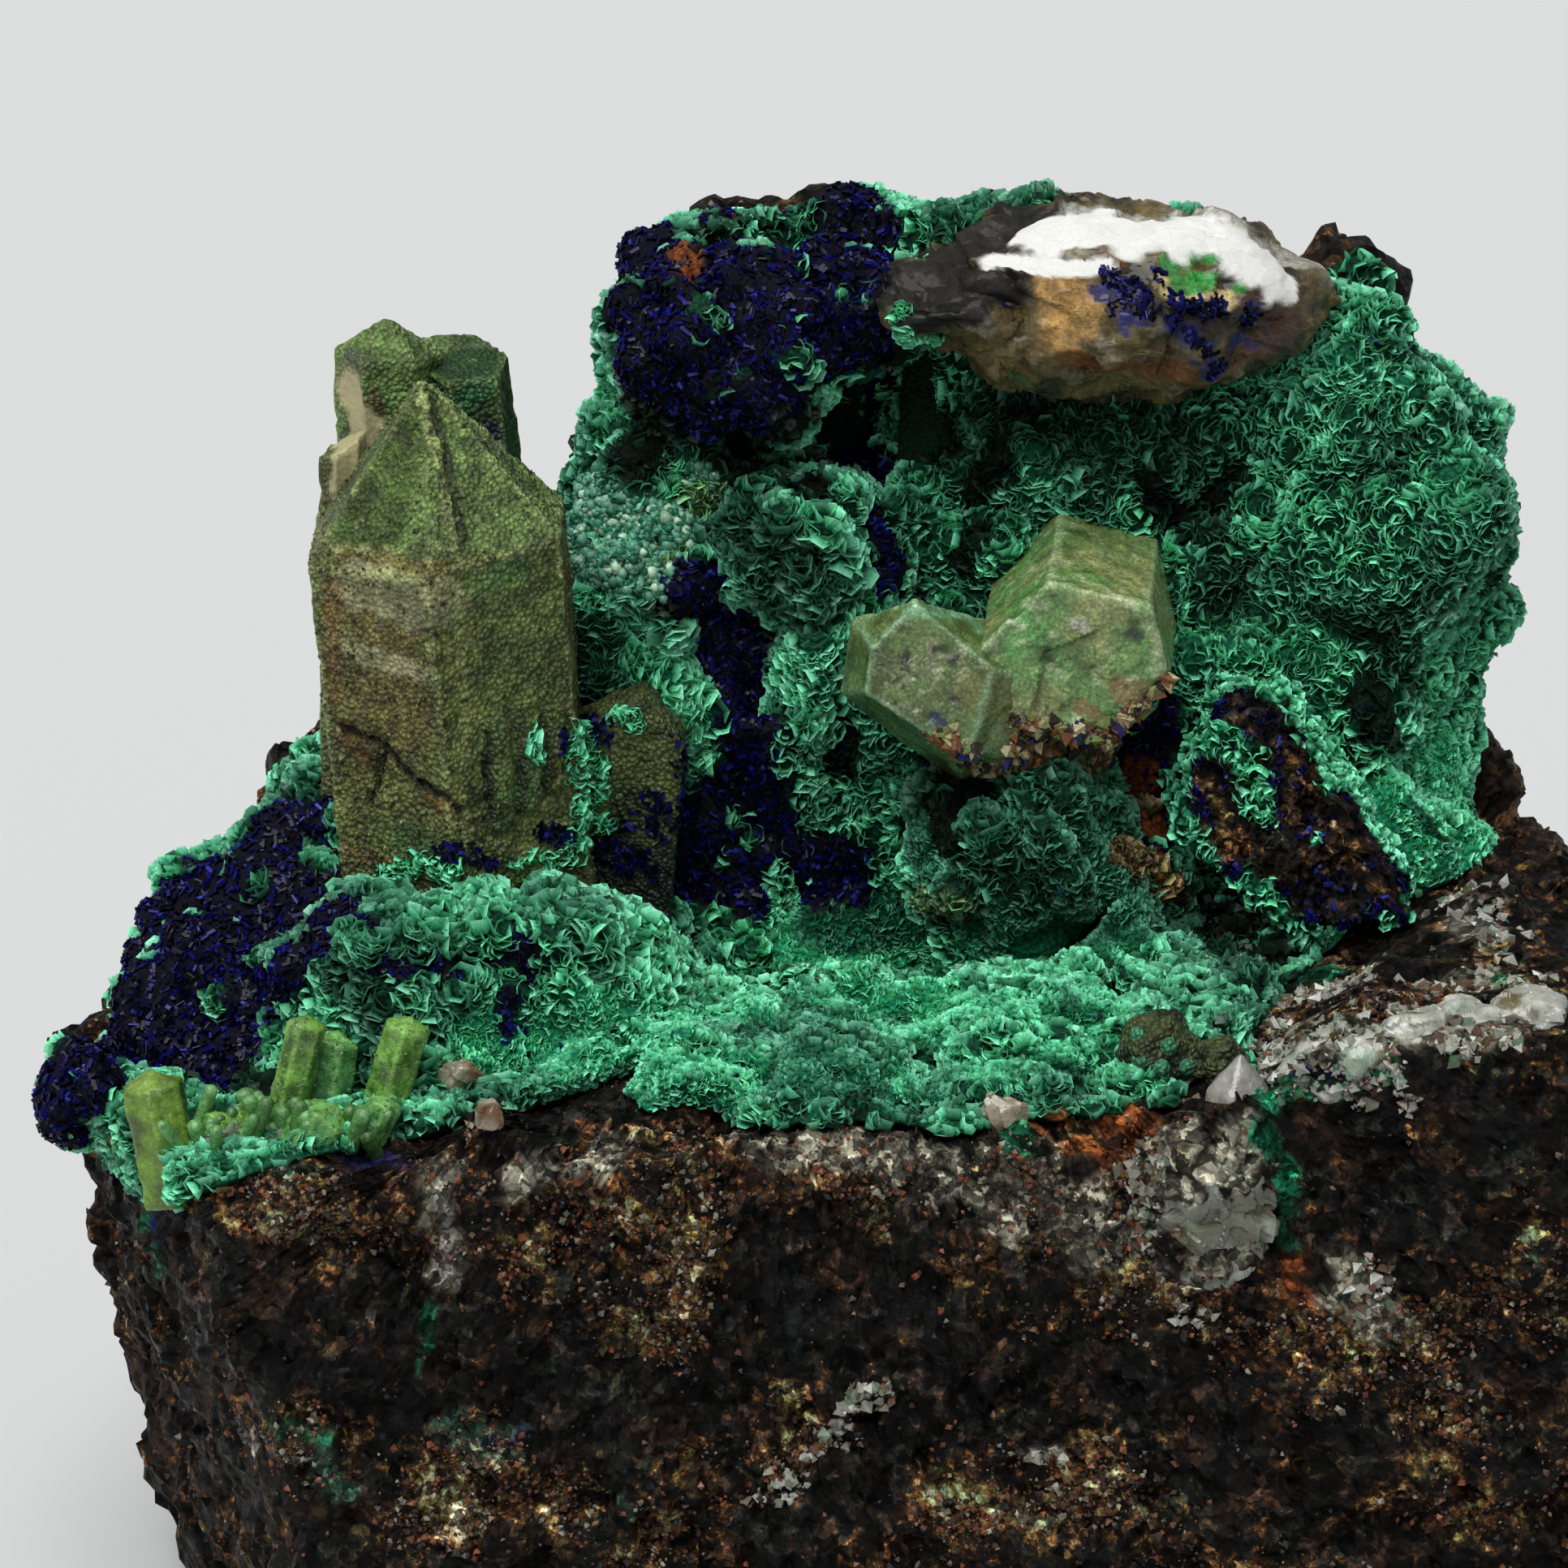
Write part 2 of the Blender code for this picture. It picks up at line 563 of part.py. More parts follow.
def convex_object(name, planes, finish, grow=0.0, size=60.0):
    """A block cut by planes, each moved out by grow."""
    bm = bmesh.new()
    middle = sum((np.asarray(p[1]) for p in planes), np.zeros(3)) / len(planes)
    bmesh.ops.create_cube(bm, size=2 * size * UNIT, matrix=Matrix.Translation(Vector(middle * UNIT)))
    for normal, through in planes:
        place = np.asarray(through) + np.asarray(normal) * grow
        cut = bmesh.ops.bisect_plane(bm, geom=bm.verts[:] + bm.edges[:] + bm.faces[:],
                                     plane_co=Vector(place * UNIT), plane_no=Vector(normal),
                                     clear_outer=True, dist=1e-7)
        edges = [e for e in cut["geom_cut"] if isinstance(e, bmesh.types.BMEdge)]
        if edges:
            bmesh.ops.edgeloop_fill(bm, edges=edges)
    bmesh.ops.remove_doubles(bm, verts=bm.verts, dist=2e-6)
    return object_from(bm, name, finish)


def rounded_object(name, centre, radii, finish, unevenness=0.0, seed=0, grow=0.0, detail=2):
    """An icosphere drawn out to these radii, with an uneven skin."""
    bm = bmesh.new()
    bmesh.ops.create_icosphere(bm, subdivisions=detail, radius=1.0)
    way = np.array([v.co for v in bm.verts])
    points = np.asarray(centre) + way * (np.asarray(radii) + grow)
    points += way * (unevenness * waves(points, 6.0, seed))[:, None]
    for vertex, point in zip(bm.verts, points):
        vertex.co = Vector(point * UNIT)
    return object_from(bm, name, finish)


def combine(target, other, operation, solver="EXACT"):
    """A Boolean with a hidden helper object."""
    other.hide_render = True
    other.display_type = "WIRE"
    other.hide_set(True)
    change = target.modifiers.new(operation.title() + "_" + other.name, "BOOLEAN")
    change.operation = operation
    change.solver = solver
    change.object = other


def main_crystal_forms():
    """Planes of the main crystal and of the four grown onto it."""
    plate_axis = unit(np.array(SIDE_TIP) - np.array(SIDE_FOOT))
    across = unit(np.cross(plate_axis, (0.0, -1.0, 0.0)))
    face = unit(np.cross(across, plate_axis))
    foot, tip = np.array(SIDE_FOOT), np.array(SIDE_TIP)
    plate = [(-plate_axis, foot), (face, foot + face * SIDE_THICKNESS),
             (-face, foot - face * SIDE_THICKNESS), (across, foot + across * SIDE_WIDTH),
             (-across, foot - across * SIDE_WIDTH),
             (unit(plate_axis - 0.55 * across), tip + across * 0.3),
             (unit(plate_axis + 1.0 * across), tip + across * 0.8)]
    return [
        crystal_planes(MAIN_FOOT, MAIN_TIP, MAIN_RADII, tops=MAIN_SHOULDER),
        crystal_planes(REAR_LEFT_FOOT, REAR_LEFT_TIP, REAR_LEFT_RADII, spin=0.5,
                       pitch=math.radians(55)),
        crystal_planes(REAR_RIGHT_FOOT, REAR_RIGHT_TOP, (REAR_RIGHT_RADIUS,) * 6, spin=0.2,
                       end=(0.10, -0.25, 1.0)),
        crystal_planes(FLAKE_FOOT, FLAKE_TOP, (FLAKE_RADIUS,) * 6, spin=0.3,
                       end=(-0.6, 0.0, 1.0)),
        plate,
    ]


def pair_forms():
    return [
        crystal_planes(PAIR_RIGHT_BACK, PAIR_RIGHT_FRONT, PAIR_RIGHT_RADII,
                       spin=math.radians(-15), end=(0.04, -0.99, 0.06)),
        crystal_planes(PAIR_LEFT_BACK, PAIR_LEFT_FRONT, (PAIR_LEFT_RADIUS,) * 6, spin=0.2,
                       pitch=BLUNT_PITCH),
    ]


def blunt(foot, tip, radius, spin):
    return crystal_planes(foot, tip, (radius,) * 6, spin=spin, pitch=BLUNT_PITCH)


def cut_form(name, planes):
    """A maker of one convex crystal, which can be grown for its socket."""
    return lambda grow, finish=None: convex_object(name, planes, finish, grow)


def round_form(name, centre, radii, unevenness=0.0, seed=0, detail=2):
    return lambda grow, finish=None: rounded_object(name, centre, radii, finish, unevenness, seed,
                                                    grow, detail)


def angular_form(name, centre, radii, seed):
    return lambda grow, finish=None: angular_object(name, centre, radii, finish, seed, grow)


def angular_object(name, centre, radii, finish, seed, grow=0.0, corners=16):
    """A broken grain: the hull of corners spread over an ellipsoid."""
    chance = np.random.default_rng(seed)
    way = chance.normal(size=(corners, 3))
    way /= np.linalg.norm(way, axis=1, keepdims=True)
    bm = bmesh.new()
    for direction in way:
        bm.verts.new(Vector((np.asarray(centre) + direction * (np.asarray(radii) + grow)) * UNIT))
    hull = bmesh.ops.convex_hull(bm, input=bm.verts)
    bmesh.ops.delete(bm, geom=list({*hull["geom_interior"], *hull["geom_unused"]}), context="VERTS")
    return object_from(bm, name, finish)


def grown_together(name, forms, finish):
    """One body from forms that overlap."""
    whole = forms[0](0.0, finish)
    whole.name = name
    for form in forms[1:]:
        combine(whole, form(0.0), "UNION")
    return whole


def set_into(forms, *bodies, solver="EXACT"):
    """Cuts a socket for each form, with clearance all round."""
    for form in forms:
        socket = form(SOCKET_GAP)
        for body in bodies:
            combine(body, socket, "DIFFERENCE", solver)


def main():
    clear_scene()
    rock = material("matrix", (0.055, 0.045, 0.038), 0.85)
    lining = material("crust", (0.05, 0.36, 0.22), 0.7)
    dusted = material("dusted_quartz", (0.22, 0.27, 0.12), 0.75)
    pale = material("pale_quartz", (0.42, 0.47, 0.26), 0.45)
    sprig = material("green_quartz", (0.25, 0.42, 0.20), 0.6)
    banded = material("nodule_quartz", (0.42, 0.36, 0.28), 0.3)
    clear = material("clear_quartz", (0.60, 0.62, 0.58), 0.15)

    main_group = [cut_form(f"main_crystal_{i}", planes)
                  for i, planes in enumerate(main_crystal_forms())]
    pair = [cut_form(f"pair_crystal_{i}", planes) for i, planes in enumerate(pair_forms())]
    sprigs = [round_form("sprig_root", SPRIG_ROOT_CENTRE, SPRIG_ROOT_RADII, 0.3, 31, detail=1)]
    sprigs += [cut_form(f"sprig_{i}", blunt(foot, tip, radius, 0.4 * i))
               for i, (foot, tip, radius) in enumerate(SPRIGS)]
    stub = [cut_form("stub", blunt(STUB_FOOT, STUB_TIP, STUB_RADIUS, 0.3)),
            cut_form("low_stub", blunt(LOW_STUB_FOOT, LOW_STUB_TIP, LOW_STUB_RADIUS, 0.1))]
    stub += [round_form(f"ball_{i}", ball[:3], (ball[3],) * 3, detail=1)
             for i, ball in enumerate(BALLS)]
    nodule = [round_form("nodule", NODULE_CENTRE, NODULE_RADII, 0.5, 21),
              round_form("nodule_plate", NODULE_PLATE_CENTRE, NODULE_PLATE_RADII, 0.4, 22)]
    rim_quartz = [angular_form("rim_grain", RIM_GRAIN_CENTRE, RIM_GRAIN_RADII, 41),
                  cut_form("rim_prism", crystal_planes(RIM_QUARTZ_FOOT, RIM_QUARTZ_TIP,
                                                       (RIM_QUARTZ_RADIUS,) * 6, spin=0.3))]
    seam = [angular_form(f"seam_grain_{i}", centre, radii, 51 + i)
            for i, (centre, radii) in enumerate(SEAM)]
    remnant = [cut_form("remnant", REMNANT)]
    overhangs = [round_form(f"overhang_{i}", centre, radii, 0.8, 61 + i)
                 for i, (centre, radii) in enumerate(OVERHANGS)]

    samples = surface_samples()
    matrix = make_matrix(samples, rock)
    crust = make_crust(samples, lining)
    for form in overhangs:
        combine(crust, form(0.0), "UNION", "MANIFOLD")
    set_into(overhangs, matrix)
    combine(matrix, remnant[0](0.0), "UNION")
    set_into(remnant, crust, solver="MANIFOLD")

    standing = (("main_crystal_group", main_group, dusted), ("crystal_pair", pair, pale),
                ("sprig_cluster", sprigs, sprig), ("stub_crystal", stub, dusted),
                ("quartz_nodule", nodule, banded), ("rim_quartz", rim_quartz, clear),
                ("quartz_seam", seam, clear))
    for name, forms, finish in standing:
        grown_together(name, forms, finish)
        set_into(forms, matrix)
        set_into(forms, crust, solver="MANIFOLD")


main()
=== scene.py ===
import math

import bpy
import numpy as np
from mathutils import Matrix


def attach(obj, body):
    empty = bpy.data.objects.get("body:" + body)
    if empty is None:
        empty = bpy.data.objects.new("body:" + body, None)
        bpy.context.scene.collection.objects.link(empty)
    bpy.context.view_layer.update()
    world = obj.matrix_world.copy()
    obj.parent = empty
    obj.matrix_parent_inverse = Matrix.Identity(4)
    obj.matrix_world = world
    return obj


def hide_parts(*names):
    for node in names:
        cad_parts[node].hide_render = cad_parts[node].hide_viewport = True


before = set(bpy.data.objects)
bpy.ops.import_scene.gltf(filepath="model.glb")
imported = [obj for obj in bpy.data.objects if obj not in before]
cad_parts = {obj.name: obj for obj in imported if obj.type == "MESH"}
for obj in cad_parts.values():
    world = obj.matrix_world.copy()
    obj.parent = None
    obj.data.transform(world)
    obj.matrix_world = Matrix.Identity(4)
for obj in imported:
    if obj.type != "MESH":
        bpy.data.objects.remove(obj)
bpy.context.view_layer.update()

# Azurite and malachite specimen. Lengths are in millimetres until a mesh is made.
# +X is right, +Y away from the viewer and +Z up, as in the frame.
mm = 0.001
print("frame loaded")

view = {
    "target": (-2.0, -3.0, 57.0),
    "distance": 400.0,
    "elevation": 20.0,
    "across": 96.6,  # width of the picture at the target
    "sensor": 36.0,
    "clipEnd": 20.0,
    "pixels": 1932,  # places in the picture are in these pixels
}

light = {
    "sunStrength": 3.6,
    "sunAngle": 50.0,
    "sunTurn": (20.0, -14.0, 0.0),
    "sky": (0.95, 0.97, 1.0),
    "skyStrength": 0.288,
    "floor": (0.55, 0.55, 0.55),
    "share": 0.77,  # how much of a shade in the picture the surface itself has in this light
    "floorHalf": 3000.0,
}

# Faces of the rock: each is a direction that it looks in and a place that it runs through
rock = {
    "sides": (
        ((0.01, -1.0, 0.02), (0.0, -28.0, 30.0)),
        ((-0.906, -0.378, -0.190), (-32.6, -13.6, -6.8)),
        ((-0.80, 0.58, -0.12), (-45.0, 5.0, 26.0)),
        ((-0.35, 0.93, 0.02), (-22.0, 28.0, 30.0)),
        ((0.06, 1.0, 0.05), (0.0, 29.0, 40.0)),
        ((0.72, 0.69, 0.0), (45.0, 20.0, 30.0)),
        ((1.0, 0.15, 0.06), (51.0, 0.0, 30.0)),
        ((0.75, -0.66, 0.05), (48.5, -25.5, 30.0)),
    ),
    "floorOfHollow": (
        ((-0.06, -0.03, 1.0), (10.0, -20.0, 43.9)),
        ((-0.30, 0.0, 1.0), (-33.0, -20.0, 42.0)),
    ),
    "shoulder": (
        ((0.03, 0.05, 1.0), (38.0, -8.0, 48.6)),
        ((-0.80, 0.35, 0.60), (30.0, -16.0, 47.0)),
        ((0.6, 0.8, 0.3), (46.0, 14.0, 46.0)),
    ),
    "wall": (
        ((-1.0, -0.05, 0.05), (-12.6, 14.0, 78.0)),
        ((-0.66, 0.1, 0.75), (-9.5, 16.0, 84.7)),
        ((0.02, -0.1, 1.0), (8.0, 18.0, 86.5)),
        ((0.45, 0.0, 0.89), (26.0, 18.0, 84.7)),
        ((0.86, 0.0, 0.50), (39.4, 15.0, 74.0)),
        ((1.0, 0.05, -0.02), (41.0, 15.0, 66.0)),
        ((0.05, 0.98, 0.14), (10.0, 26.5, 66.0)),
        ((0.70, 0.70, 0.08), (39.0, 22.0, 66.0)),
    ),
    "ridge": (
        ((-0.70, -0.15, 0.70), (-15.6, 12.0, 66.6)),
        ((0.0, -1.0, 0.35), (-15.0, 6.0, 60.0)),
        ((0.0, 1.0, 0.10), (-15.0, 24.0, 60.0)),
        ((1.0, 0.0, 0.0), (0.0, 0.0, 60.0)),
    ),
    "remnant": (
        ((-0.12, -0.95, 0.28), (30.0, -3.6, 53.0)),
        ((0.80, -0.05, 0.60), (29.6, 1.0, 61.0)),
        ((0.97, -0.1, 0.20), (37.0, -1.0, 51.0)),
        ((0.0, -0.15, 1.0), (27.0, 1.0, 61.2)),
        ((-0.94, -0.05, 0.34), (23.9, 1.0, 60.0)),
        ((-0.6, 0.0, -0.8), (24.0, -1.0, 51.0)),
        ((0.1, 0.0, -1.0), (32.0, -1.0, 47.6)),
        ((0.0, 1.0, 0.2), (28.0, 7.0, 55.0)),
    ),
    "remnantProud": 2.6,
    "blockBack": 0.7,  # how far the broken block lies inside its solid, under its own crust
    # centre, radii and blend of the swells and of the hollows
    "swells": (
        ((-4.0, 15.0, 80.0), (7.6, 7.0, 6.4), 2.5),
        ((-31.0, 5.0, 37.0), (14.0, 15.0, 10.5), 3.0),
        ((12.0, 5.0, 45.0), (10.0, 9.0, 9.0), 2.5),
        ((-20.0, -5.0, 43.0), (12.5, 7.5, 6.6), 2.5),
        ((33.5, 20.5, 81.5), (4.5, 4.0, 3.6), 1.5),
        ((-17.3, -25.6, 44.6), (3.0, 2.4, 2.9), 1.0),
        ((42.0, 18.0, 48.5), (4.2, 5.0, 7.0), 1.5),
    ),
    "hollows": (
        ((3.5, -0.5, 47.0), (14.0, 6.4, 7.6), 1.5),
        ((40.5, 4.0, 57.0), (5.0, 8.0, 8.0), 2.0),
        ((2.0, 9.0, 73.0), (8.5, 8.0, 5.5), 2.0),
        ((-5.5, 1.0, 55.0), (3.6, 5.0, 9.0), 2.0),
    ),
    "wallFoot": (4.0, 44.0),
    "wallTop": 86.5,
    "wallLean": 11.0,
    "wallCurl": 7.0,
    "curlStart": 22.0,
    "curlLength": 22.0,
    "waves": ((0.55, 13.0, 3), (0.35, 5.5, 4)),  # height, length and seed
    "chips": ((0.60, 5.0, 5), (0.42, 2.1, 6), (0.20, 0.9, 7)),
    "roughness": (0.16, 1.3, 8),
    "columns": 800,
    "rowsInside": 8,
    "rowsOutside": 115,
    "sunk": 6.0,  # how far the rock lies back under the crust
}

rays = {
    "centre": (4.0, 8.0, 30.0),
    "tilt": math.atan2(0.6, 0.8),
    "tipStart": 1.1,
    "discX": 26.0,
    "discW": 16.0,
    "length": 90.0,
    "step": 1.0,
    "halvings": 12,
}

crust = {
    # places on the edge of the crust, counterclockwise from the right
    "rim": (
        (43.5, 11.0, 48.5), (43.6, 15.0, 55.0), (45.0, 17.0, 63.0), (43.0, 18.0, 76.0),
        (34.5, 18.0, 82.5), (25.0, 19.0, 87.0), (8.0, 21.0, 88.0), (-6.0, 20.0, 88.0),
        (-14.0, 19.0, 81.0), (-16.0, 17.0, 70.0), (-26.0, 17.0, 58.0), (-36.0, 14.0, 50.0),
        (-44.5, 5.0, 43.0), (-46.0, -9.0, 36.5), (-43.0, -17.0, 35.5), (-40.3, -23.0, 37.0),
        (-37.0, -27.6, 40.2), (-32.0, -28.0, 42.6), (-26.0, -28.0, 44.0), (-17.0, -24.6, 47.6),
        (-5.0, -28.0, 46.0), (6.0, -28.0, 45.0), (16.0, -28.0, 45.0), (24.0, -26.0, 46.5),
        (29.0, -16.0, 47.5), (32.0, -8.0, 48.0), (35.0, -2.5, 50.0), (40.5, 2.0, 49.0),
    ),
    "edgeWander": 0.016,  # how far the edge strays, as an angle at the middle
    "edgeBack": 0.012,  # how far the edge is drawn in, as an angle too
    # where the edge is drawn in further: place, and how wide and how far as angles
    "drawn": (((-17.0, -24.6, 47.6), 0.070, 0.060), ((25.0, -25.5, 46.0), 0.05, 0.03)),
    "gap": 0.38,
    "depth": 1.7,
    "edge": 0.28,
    "least": 0.35,
    "waves": ((0.50, 6.0, 11), (0.40, 3.2, 12)),
    # place, radius and height of each mound
    "mounds": (
        ((-10.9, 8.0, 69.0), 4.0, 2.0), ((-5.5, 10.0, 70.5), 3.0, 1.6),
        ((-1.5, 9.0, 70.0), 4.2, 3.0), ((4.0, 9.0, 63.0), 4.0, 2.2),
        ((-12.0, 4.0, 62.0), 4.5, 2.6), ((-11.0, 2.0, 55.0), 3.5, 1.8),
        ((2.8, 5.0, 57.0), 4.5, 2.6), ((12.0, 9.0, 76.0), 5.0, 1.8),
        ((22.0, 11.0, 74.0), 6.0, 1.6), ((31.5, 11.0, 66.0), 5.0, 2.4),
        ((36.0, 9.0, 61.0), 3.6, 1.6), ((31.0, 13.0, 77.0), 5.0, 2.0),
        ((40.0, 13.0, 72.0), 4.0, 1.6), ((40.0, 11.0, 59.0), 3.5, 1.8),
        ((8.0, -3.0, 51.0), 4.0, 1.8), ((15.0, -3.0, 52.0), 4.0, 1.8),
        ((19.0, -1.0, 56.0), 3.0, 1.6), ((-22.5, -10.5, 47.0), 5.0, 3.2),
        ((-13.5, -8.5, 46.5), 4.5, 2.6), ((-30.0, -8.0, 47.0), 4.0, 1.8),
        ((-35.0, 6.0, 47.0), 4.5, 1.6), ((-41.0, -4.0, 43.0), 4.0, 1.6),
        ((-45.0, -14.0, 40.0), 3.0, 2.2), ((-43.5, -19.0, 37.0), 2.6, 1.6),
        ((-18.0, -17.0, 46.0), 5.0, 1.0), ((-4.0, -16.0, 46.0), 6.0, 1.2),
        ((9.0, -14.0, 46.0), 7.0, 1.0), ((18.0, -12.0, 46.0), 4.0, 1.4),
        ((25.0, -12.0, 47.0), 3.5, 1.6), ((4.5, 18.0, 88.0), 4.5, -2.4),
        ((-33.0, -21.0, 42.5), 6.5, -2.6), ((-27.0, -20.5, 43.5), 4.0, -2.0),
    ),
    # centre and radii of each lump that hangs over
    "overhangs": (
        ((-5.4, 11.0, 81.4), (7.4, 6.4, 6.0)), ((2.6, 12.6, 83.0), (4.6, 4.6, 3.8)),
        ((-1.6, 9.4, 68.6), (5.4, 5.0, 5.2)), ((-11.0, 8.6, 67.0), (5.2, 5.2, 4.2)),
        ((12.6, 0.4, 50.6), (6.7, 5.7, 7.0)), ((-44.8, -13.5, 41.0), (2.4, 4.0, 2.6)),
    ),
    "clusters": ((1.45, 3.5, 21), (0.65, 1.6, 22)),  # height, size and seed of the rosettes
    "columns": 440,
    "rows": 210,
    "rowsUnder": 8,
}


# Distances: below 0 inside a form, above 0 outside it.
def unit(vector):
    vector = np.asarray(vector, float)
    return vector / np.linalg.norm(vector, axis=-1, keepdims=True)


def beyondPlane(points, normal, through):
    return (points - np.asarray(through)) @ unit(normal)


def beyondEllipsoid(points, centre, radii):
    # how far out in units of the radii, turned back into a length by its own slope
    away = (points - np.asarray(centre)) / np.asarray(radii)
    far = np.linalg.norm(away, axis=-1) + 1e-9
    slope = np.linalg.norm(away / np.asarray(radii), axis=-1) + 1e-9
    return far * (far - 1.0) / slope


def joined(a, b, blend):
    # the smaller distance, rounded over where the two forms meet
    share = np.clip(0.5 + 0.5 * (b - a) / blend, 0.0, 1.0)
    return b + (a - b) * share - blend * share * (1.0 - share)


def common(a, b, blend):
    return -joined(-a, -b, blend)


def insidePlanes(points, planes, blend):
    found = beyondPlane(points, *planes[0])
    for plane in planes[1:]:
        found = common(found, beyondPlane(points, *plane), blend)
    return found


def waves(points, length, seed, count=14):
    # a sum of sine waves of about this length in random directions
    chance = np.random.default_rng(seed)
    heading = chance.normal(size=(count, 3))
    heading *= (2 * math.pi / length) / np.linalg.norm(heading, axis=1, keepdims=True)
    heading *= chance.uniform(0.7, 1.4, (count, 1))
    start = chance.uniform(0, 2 * math.pi, count)
    return np.sin(points @ heading.T + start).sum(axis=-1) / math.sqrt(count)


def uneven(points, layers):
    return sum(height * waves(points, length, seed) for height, length, seed in layers)


def rockDistance(points):
    # the block and its shoulder, joined to the wall, with swells added and hollows taken out
    x, y, z = points[..., 0], points[..., 1], points[..., 2]
    footY, footZ = rock["wallFoot"]
    height = (z - footZ) / (rock["wallTop"] - footZ)
    curl = np.clip((x - rock["curlStart"]) / rock["curlLength"], 0.0, 1.2) ** 2
    front = footY + rock["wallLean"] * height - rock["wallCurl"] * curl - y
    wall = common(insidePlanes(points, rock["wall"], 2.0), front, 2.0)
    wall = joined(wall, insidePlanes(points, rock["ridge"], 2.5), 4.0)
    found = joined(insidePlanes(points, rock["floorOfHollow"], 1.6),
                   insidePlanes(points, rock["shoulder"], 1.6), 1.5)
    found = joined(found, wall, 3.0)
    under = [(normal, np.asarray(place) - rock["remnantProud"] * unit(normal))
             for normal, place in rock["remnant"]]
    found = joined(found, insidePlanes(points, under, 1.0), 2.0)
    for centre, radii, blend in rock["swells"]:
        found = joined(found, beyondEllipsoid(points, centre, radii), blend)
    for centre, radii, blend in rock["hollows"]:
        found = common(found, -beyondEllipsoid(points, centre, radii), blend)
    found = common(found, insidePlanes(points, rock["sides"], 1.6), 1.6)
    return found + uneven(points, rock["waves"])


# Rays that fan out from a flat disc inside the rock
def rayFrame(theta):
    # the axis tips from the way the hollow looks to straight down as theta passes the rim
    turned = np.clip((theta - rays["tipStart"]) / (math.pi - rays["tipStart"]), 0.0, 1.0)
    tilt = rays["tilt"] * (1.0 - turned * turned * (3.0 - 2.0 * turned))
    zero = np.zeros_like(theta)
    axis = np.stack([zero, -np.sin(tilt), np.cos(tilt)], -1)
    across = np.stack([zero, np.cos(tilt), np.sin(tilt)], -1)
    return axis, across


def castRays(theta, phi):
    # start = centre + sin(theta) (discX cos(phi) right + discW sin(phi) across), and the
    # heading is the same turn round the axis with no disc
    axis, across = rayFrame(theta)
    right = np.zeros_like(axis)
    right[..., 0] = 1.0
    out = np.sin(theta)[..., None]
    side = np.cos(phi)[..., None]
    up = np.sin(phi)[..., None]
    start = np.asarray(rays["centre"]) + out * (rays["discX"] * side * right
                                                + rays["discW"] * up * across)
    heading = out * (side * right + up * across) + np.cos(theta)[..., None] * axis
    return start, heading


def rayAngles(place):
    # halves theta until the ray through the place starts on the disc's circle
    axis, across = rayFrame(np.zeros(()))
    away = np.asarray(place) - np.asarray(rays["centre"])
    x, w, a = away[0], away @ across, away @ axis
    low, high = 0.02, 1.45  # every place on the rim lies between these angles
    for _ in range(40):
        theta = 0.5 * (low + high)
        reach = a / math.cos(theta)
        side = x / ((rays["discX"] + reach) * math.sin(theta))
        up = w / ((rays["discW"] + reach) * math.sin(theta))
        if side * side + up * up > 1.0:
            low = theta
        else:
            high = theta
    return theta, math.atan2(up, side)


def rimTheta(phi):
    # the crust's edge between the listed places, strayed by noise round the circle
    found = np.array([rayAngles(place) for place in crust["rim"]])
    order = np.argsort(found[:, 1])
    turn = (phi + math.pi) % (2 * math.pi) - math.pi
    rim = np.interp(turn, found[order, 1], found[order, 0], period=2 * math.pi)
    ring = np.stack([np.cos(phi), np.sin(phi), 0 * phi], -1)
    stray = fractal(ring, 0.16, 31, 3) + 0.5 * smoothNoise(ring, 0.035, 32)
    for place, width, far in crust["drawn"]:
        away = (phi - rayAngles(place)[1] + math.pi) % (2 * math.pi) - math.pi
        rim = rim - far * np.exp(-(away / width) ** 2)
    return rim - crust["edgeBack"] + crust["edgeWander"] * stray


def reachOf(start, heading):
    # walks each ray out to its first way out of the rock or the base, then halves the last step
    shape = start.shape[:-1]
    start, heading = start.reshape(-1, 3), heading.reshape(-1, 3)
    high = np.full(len(start), rays["length"])
    walking = np.arange(len(start))
    for step in np.arange(rays["step"], rays["length"], rays["step"]):
        outside = rockDistance(start[walking] + heading[walking] * step) >= 0
        high[walking[outside]] = step
        walking = walking[~outside]
        if not len(walking):
            break
    low = high - rays["step"]
    for _ in range(rays["halvings"]):
        middle = 0.5 * (low + high)
        within = rockDistance(start + heading * middle[:, None]) < 0
        low = np.where(within, middle, low)
        high = np.where(within, high, middle)
    down = np.minimum(heading[:, 2], -1e-9)
    reach = np.minimum(0.5 * (low + high), np.where(heading[:, 2] < 0, -start[:, 2] / down, high))
    return reach.reshape(shape)


# Noise on a lattice
def scrambled(cells, seed):
    # each lattice place and the seed give one number from 0 to 1 that looks random
    x, y, z = (cells[..., i].astype(np.int64).astype(np.uint32) for i in range(3))
    mixed = x * np.uint32(2376512323) ^ y * np.uint32(3625334849) ^ z * np.uint32(3407524639)
    mixed = mixed ^ np.uint32(seed * 2654435761 % 2**32)
    mixed ^= mixed >> np.uint32(15)
    mixed *= np.uint32(739982445)
    mixed ^= mixed >> np.uint32(12)
    mixed *= np.uint32(695872825)
    mixed ^= mixed >> np.uint32(15)
    return mixed / 2.0**32


def smoothNoise(points, size, seed):
    # random lattice values, blended between the eight corners round a point, from -1 to 1
    place = points / size
    cell = np.floor(place)
    part = place - cell
    part = part * part * (3.0 - 2.0 * part)
    total = 0.0
    for corner in np.ndindex(2, 2, 2):
        share = np.prod(np.where(np.array(corner) == 1, part, 1.0 - part), axis=-1)
        total = total + share * scrambled(cell + np.array(corner), seed)
    return 2.0 * total - 1.0


def fractal(points, size, seed, octaves=4):
    # noise with each octave half as large and half as high
    total = 0.0
    for octave in range(octaves):
        total = total + smoothNoise(points, size / 2**octave, seed + octave) / 2**octave
    return total


